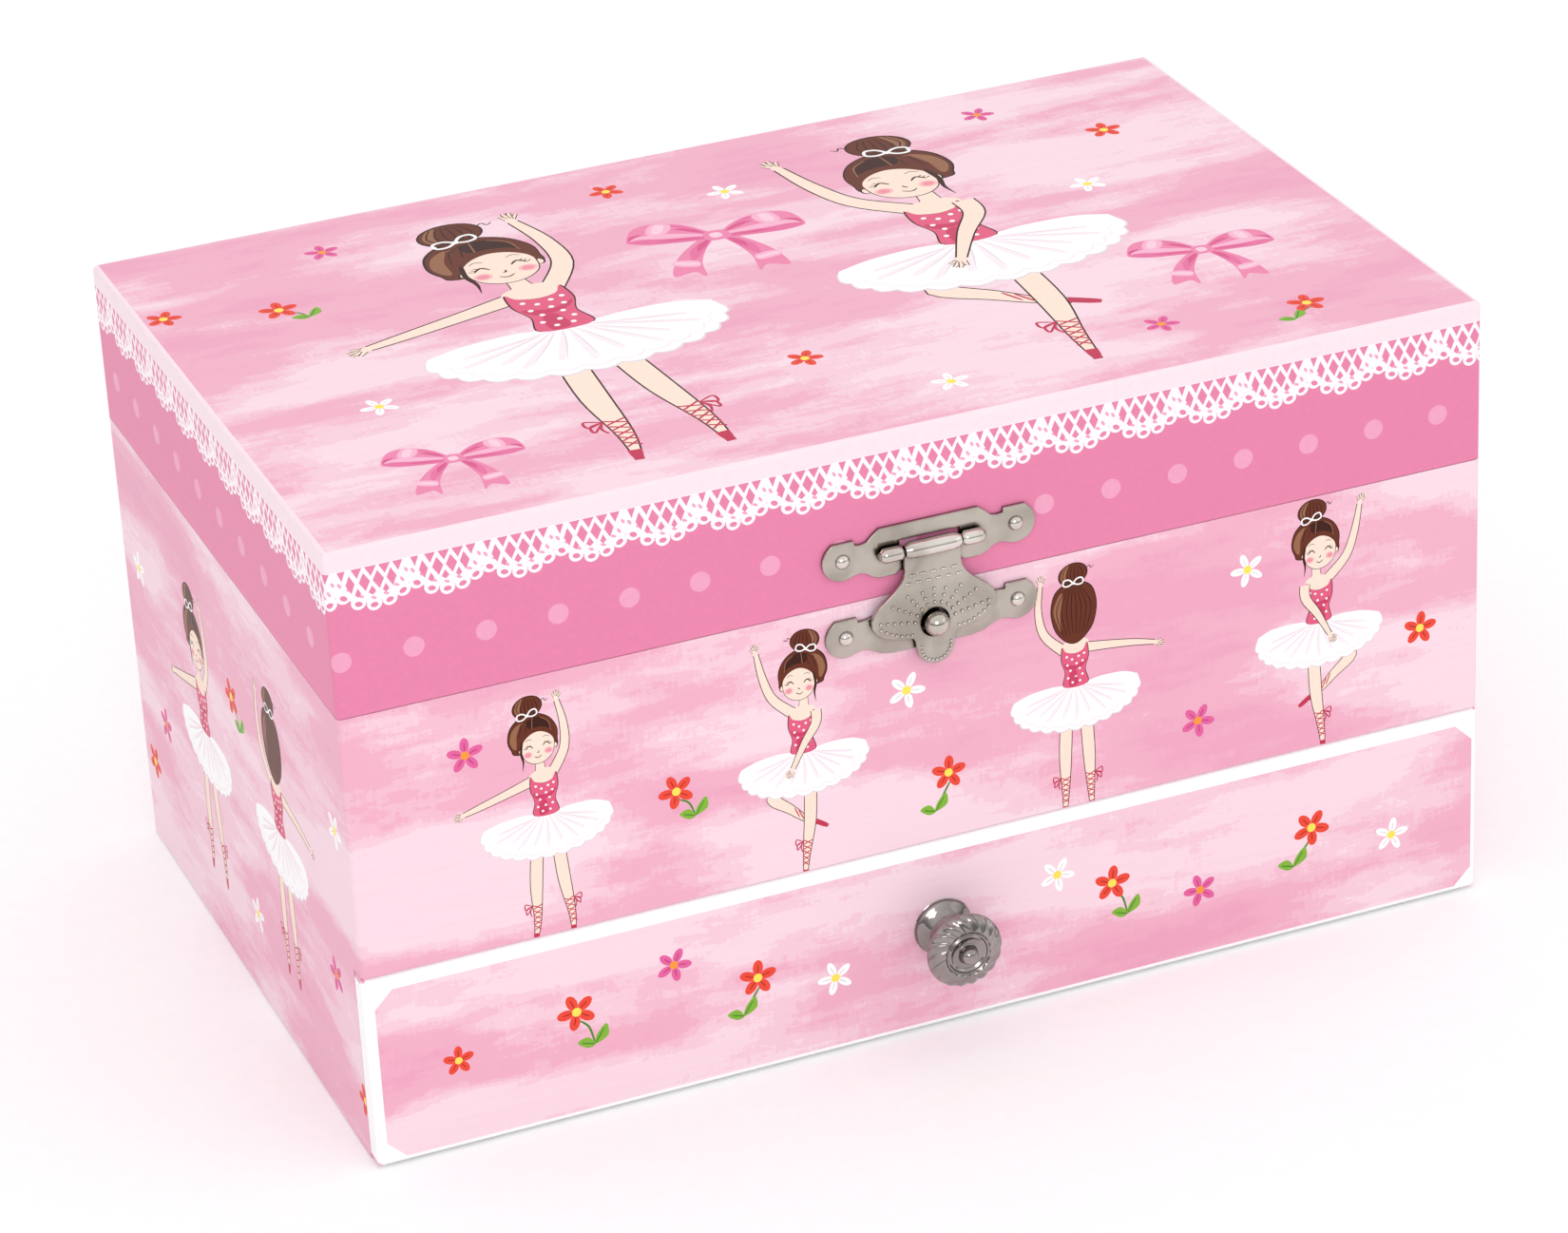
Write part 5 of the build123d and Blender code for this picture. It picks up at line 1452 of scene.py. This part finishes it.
def bodice_point(row, a):
    """The bodice follows the trunk a little outside it; its last row turns in at the neckline."""
    foot, neckline = 15.2, 23.0 + 0.35 * abs(sin(2 * a))
    z = foot + (neckline - foot) * min(row, 13) / 13
    rx, ry, y = trunk(z)
    grow = 0.14 if row < 14 else -0.1
    return (rx + grow) * cos(a), y + (ry + grow) * sin(a), z


def hair_point(row, a):
    """Grooved hair from the hairline to the crown; its first row turns in under the edge."""
    edge = 1.12 + 1.05 * max(0.0, cos(a)) ** 0.8
    polar = edge + (pi - 0.05 - edge) * max(row - 1, 0) / 23
    groove = 0.012 * sin(24 * a + 1.5 * sin(3 * a))
    return head_point(a, polar, 1.075 + groove * sin(polar) if row else 0.97)


def bun_point(share, a):
    b = 0.08 + (pi - 0.16) * share
    size = 1.26 * (1 + 0.07 * sin(5 * a + 4.5 * b))
    return (size * sin(b) * cos(a), 0.6 + size * sin(b) * sin(a),
            31.75 - 0.9 * size * cos(b))


def make_dancer():
    """Painted figure with both arms raised in a ring; heights are above the soles."""
    skin = [rings([13.0 + 14.2 * t for t in shares(44)], 36, skin_point)]
    slippers, bodice, lashes = [], [], []
    for side in (-1, 1):
        skin.append(leg_tube(
            side, [(1.15, 0.0, 15.6), (1.05, -0.1, 13.4), (0.9, -0.25, 11.2), (0.8, 0.0, 9.0),
                   (0.74, 0.15, 7.2), (0.62, 0.0, 4.6), (0.5, -0.05, 2.4)],
            (2.4, 4.6, 7.2, 9.0, 11.2, 13.4, 15.6), (0.5, 0.58, 0.95, 0.82, 0.95, 1.2, 1.35)))
        slippers.append(leg_tube(
            side, [(0.5, -0.05, 3.1), (0.48, -0.16, 2.2), (0.42, -0.24, 1.1), (0.36, -0.12, 0.0)],
            (0.0, 0.5, 1.4, 2.5, 3.1), (0.4, 0.56, 0.68, 0.66, 0.6)))
        ankle, tied, shin, twist = 2.8, 2.8, 0.66, 2.3
        for hand in (-1, 1):                # ribbons crossed up the shin
            slippers.append(tube([(side * (0.5 + 0.02 * z) + shin * cos(hand * twist * z),
                                   shin * sin(hand * twist * z), ankle + z)
                                  for z in (tied * t for t in shares(40))], 0.09, 6))
        arm = [(side * 5.1 * cos(a), -0.4, 29.6 + 5.4 * sin(a))
               for a in angles(40, radians(-66), radians(146), ends=True)]
        skin.append(tube(arm, [graded(k, (0, 3, 18, 30, 34, 37, 40),
                                      (0.55, 0.74, 0.6, 0.42, 0.5, 0.42, 0.14))
                               for k in range(41)], 16))
        # Shoulder strap, then the closed eye and the brow.
        bodice.append(tube([(side * (1.25 + 0.35 * sin(a)), -1.35 * cos(a),
                             22.9 + 1.75 * sin(a))
                            for a in angles(20, sweep=pi, ends=True)], 0.13, 8))
        for width, height, arch, thick in ((0.26, 1.50, -0.09, 0.07), (0.28, 1.80, 0.05, 0.05)):
            lashes.append(tube([head_point(side * (0.24 + width * t),
                                           height + arch * sin(pi * t), 1.01)
                                for t in shares(8)], thick, 6))
    skin.append(rings(shares(34), 36, lambda t, a: head_point(a, 0.06 + (pi - 0.12) * t)))
    nose = [head_point(0, polar, grow)
            for polar, grow in ((1.62, 0.99), (1.42, 1.06), (1.33, 1.07), (1.26, 0.99))]
    skin.append(tube(nose, [0.1, 0.2, 0.26, 0.12], 10))
    # Lips, the bodice itself, the hair with its bun, and the band round the bun.
    bodice.append(tube([head_point(0.384 * (t - 0.5), 1.03 + 0.10 * (2 * t - 1) ** 2, 1.012)
                        for t in shares(8)], 0.085, 8))
    bodice.append(rings(range(15), 60, bodice_point))
    hair = [rings(range(25), 96, hair_point), rings(shares(20), 48, bun_point)]
    slippers.append(tube([(cos(a), 0.5 + sin(a), 31.15)
                          for a in angles(32, ends=True)], 0.2, 8))
    for name, parts, material, node in (("dancer_skin", skin, SKIN_PAINT, "dancer_figure"),
                                        ("dancer_slippers", slippers, SATIN_PAINT, None),
                                        ("dancer_bodice", bodice, BODICE_PAINT, None),
                                        ("dancer_hair", hair, HAIR_PAINT, None),
                                        ("dancer_lashes", lashes, HAIR_PAINT, None)):
        piece_from(name, placed(parts), material, "dancer", node)


def make_tutu():
    """Three ruffled discs of net, stitched at the waist."""
    waist, thick, steps = 2.0, 0.045, 22
    top_side = [(thick, t) for t in shares(steps)]
    bottom_side = [(-thick, t) for t in reversed(shares(steps))]
    parts = []
    for level, (z0, z1, reach, waves) in enumerate(
            ((17.15, 16.35, 10.7, 19), (16.75, 15.45, 10.3, 17), (16.35, 14.75, 9.6, 15))):
        def point(row, a):
            lift, t = row
            swing = sin(waves * a + 2.1 * level + 0.8 * sin(3 * a + level))
            frill = 0.5 * t ** 1.4 * swing + 0.10 * t * sin(53 * a + level)
            radius = waist + (reach - waist) * t + 0.16 * t ** 4 * cos(2 * waves * a)
            return (radius * cos(a), radius * sin(a),
                    z0 + (z1 - z0) * t ** 1.3 + frill + lift)

        parts.append(rings(top_side + bottom_side, 360, point, loop=True))
    net = piece_from("dancer_net_skirt", placed(parts), TULLE, "dancer", "dancer_tutu")


def make_spring():
    """Coil that rises straight from its foot and bends with the dancer's lean at rest."""
    pivot = Vector(joint_rows["dancer_rise"]["pos_m"]) / MM
    lean = acos(Vector(joint_rows["dancer_spin"]["axis"]).normalized().z)
    reach, turns, radius, wire = 8.0, 13, 2.3, 0.28
    start = pivot - Vector((0, 0, reach))
    end = pivot + Vector((0, -sin(lean), cos(lean))) * reach
    travel = end - start
    path = []
    for u in shares(turns * 22):
        a = 2 * pi * turns * u
        rise = wire + 2 * (reach - wire) * (u - 0.1 * sin(2 * pi * u))
        path.append((radius * cos(a), pivot.y + radius * sin(a), start.z + rise))
    verts, faces = tube(path, wire, 8)
    bent = []
    for v in verts:
        spot = v
        # A point's share of the lean depends on where it ends up, so this settles in rounds.
        for _ in range(60):
            t = limited((spot - start).dot(travel) / travel.length_squared)
            share = t * t * (3 - 2 * t)
            turned = pivot + Matrix.Rotation(lean * share, 3, "X") @ (v - pivot)
            spot = (spot + turned) / 2
        bent.append(spot)
    coil = piece_from("dancer_coil", (bent, faces), STEEL, None, "dancer_spring")
    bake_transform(coil)


# ---- frame parts that stay -----------------------------------------------------------------
def dress_nodes():
    """Materials for the frame's own meshes, by their slots."""
    for row in frame["record"]["subparts"]:
        mesh = nodes[row["node"]].data
        mesh.materials.clear()
        polished = row["node"] in ("keeper_stud", "case_hinge_nails", "lid_hinge_nails")
        mesh.materials.append(POLISHED if polished else SLOT_MATERIALS[row["material_slot"]])


# ---- floor, light and camera ---------------------------------------------------------------
def area_light(name, place, size, power):
    """Square lamp that looks at the middle of the box."""
    data = bpy.data.lights.new(name, "AREA")
    data.shape = "RECTANGLE"
    data.size = data.size_y = size
    data.energy = power
    lamp = add_object(name, data)
    lamp.location = place
    aim = Vector((0.0, 0.0, 0.05)) - Vector(place)
    lamp.rotation_euler = aim.to_track_quat("-Z", "Y").to_euler()


def paper_white(n, scale, detail):
    """The studio's white, very slightly uneven."""
    grain = n.noise(n.position(), scale, detail)
    return n.ramp(grain, [(0.3, (0.93, 0.93, 0.93)), (0.7, (0.95, 0.95, 0.95))])


def staged(name, verts, faces, n):
    mesh = bpy.data.meshes.new(name)
    mesh.from_pydata(verts, [], faces)
    mesh.materials.append(n.material)
    thing = add_object(name, mesh)
    return thing


def make_studio():
    """White floor, and far off a pale wall that only the camera sees, so it lights nothing."""
    reach, height, sides = 6.0, 4.0, 96
    radius = 0.95 * reach
    n = Nodes("backdrop_paper", rough=0.9)
    n.put(Emission_Color=paper_white(n, 2.0, 2.0), Emission_Strength=1.0,
          Base_Color=(0.0, 0.0, 0.0))
    wall = staged("backdrop", [(radius * cos(a), radius * sin(a), z)
                               for z in (-0.01, height) for a in angles(sides)],
                  [(k, (k + 1) % sides, sides + (k + 1) % sides, sides + k)
                   for k in range(sides)], n)
    wall.visible_diffuse = wall.visible_glossy = wall.visible_shadow = False
    n = Nodes("floor_paper", rough=0.9)
    n.put(Base_Color=paper_white(n, 300.0, 3.0), Emission_Color=WHITE, Emission_Strength=0.05)
    ground = staged("floor", [(x, y, 0) for x, y in rect(-reach, reach, -reach, reach)],
                    [(0, 1, 2, 3)], n)
    ground.location.z = -0.0002
    world = bpy.data.worlds.new("studio")
    world.use_nodes = True
    background = world.node_tree.nodes["Background"]
    links, make = world.node_tree.links, world.node_tree.nodes.new
    split, shade = make("ShaderNodeSeparateXYZ"), make("ShaderNodeValToRGB")
    links.new(make("ShaderNodeTexCoord").outputs["Generated"], split.inputs[0])
    links.new(split.outputs["Z"], shade.inputs[0])
    for element, (position, level) in zip(shade.color_ramp.elements, ((0.10, 0.38), (0.42, 1.0))):
        element.position = position
        element.color = (level, level, level, 1.0)
    links.new(shade.outputs[0], background.inputs["Color"])
    background.inputs["Strength"].default_value = 1.04
    bpy.context.scene.world = world
    area_light("key", (-0.5, -1.3, 0.75), 0.6, 3.7)
    area_light("top", (0.2, 0.3, 1.5), 1.0, 0.4)
    area_light("fill", (1.2, -0.8, 0.5), 0.8, 0.8)


def make_camera():
    """The photo's viewpoint, fitted to the seven corners of the box that it shows."""
    place = Vector((-290.6, -751.1, 455.6)) * MM
    forward, up = Vector((0.32076, 0.83135, -0.45384)), Vector((0.21192, 0.40402, 0.88986))
    data = bpy.data.cameras.new("camera")
    data.lens = 126.4
    data.sensor_width = 36.0
    data.clip_start, data.clip_end = 0.02, 20.0
    camera = add_object("camera", data)
    turn = Matrix((forward.cross(up), up, -forward)).transposed()
    camera.matrix_world = Matrix.Translation(place) @ turn.to_4x4()
    bpy.context.scene.camera = camera


dress_nodes()
wrap_box()
make_latch()
make_knob()
make_ring_rolls()
make_mats()
make_lid_padding()
make_dancer()
make_tutu()
make_spring()
make_studio()
make_camera()
bpy.context.scene.view_settings.view_transform = "Standard"
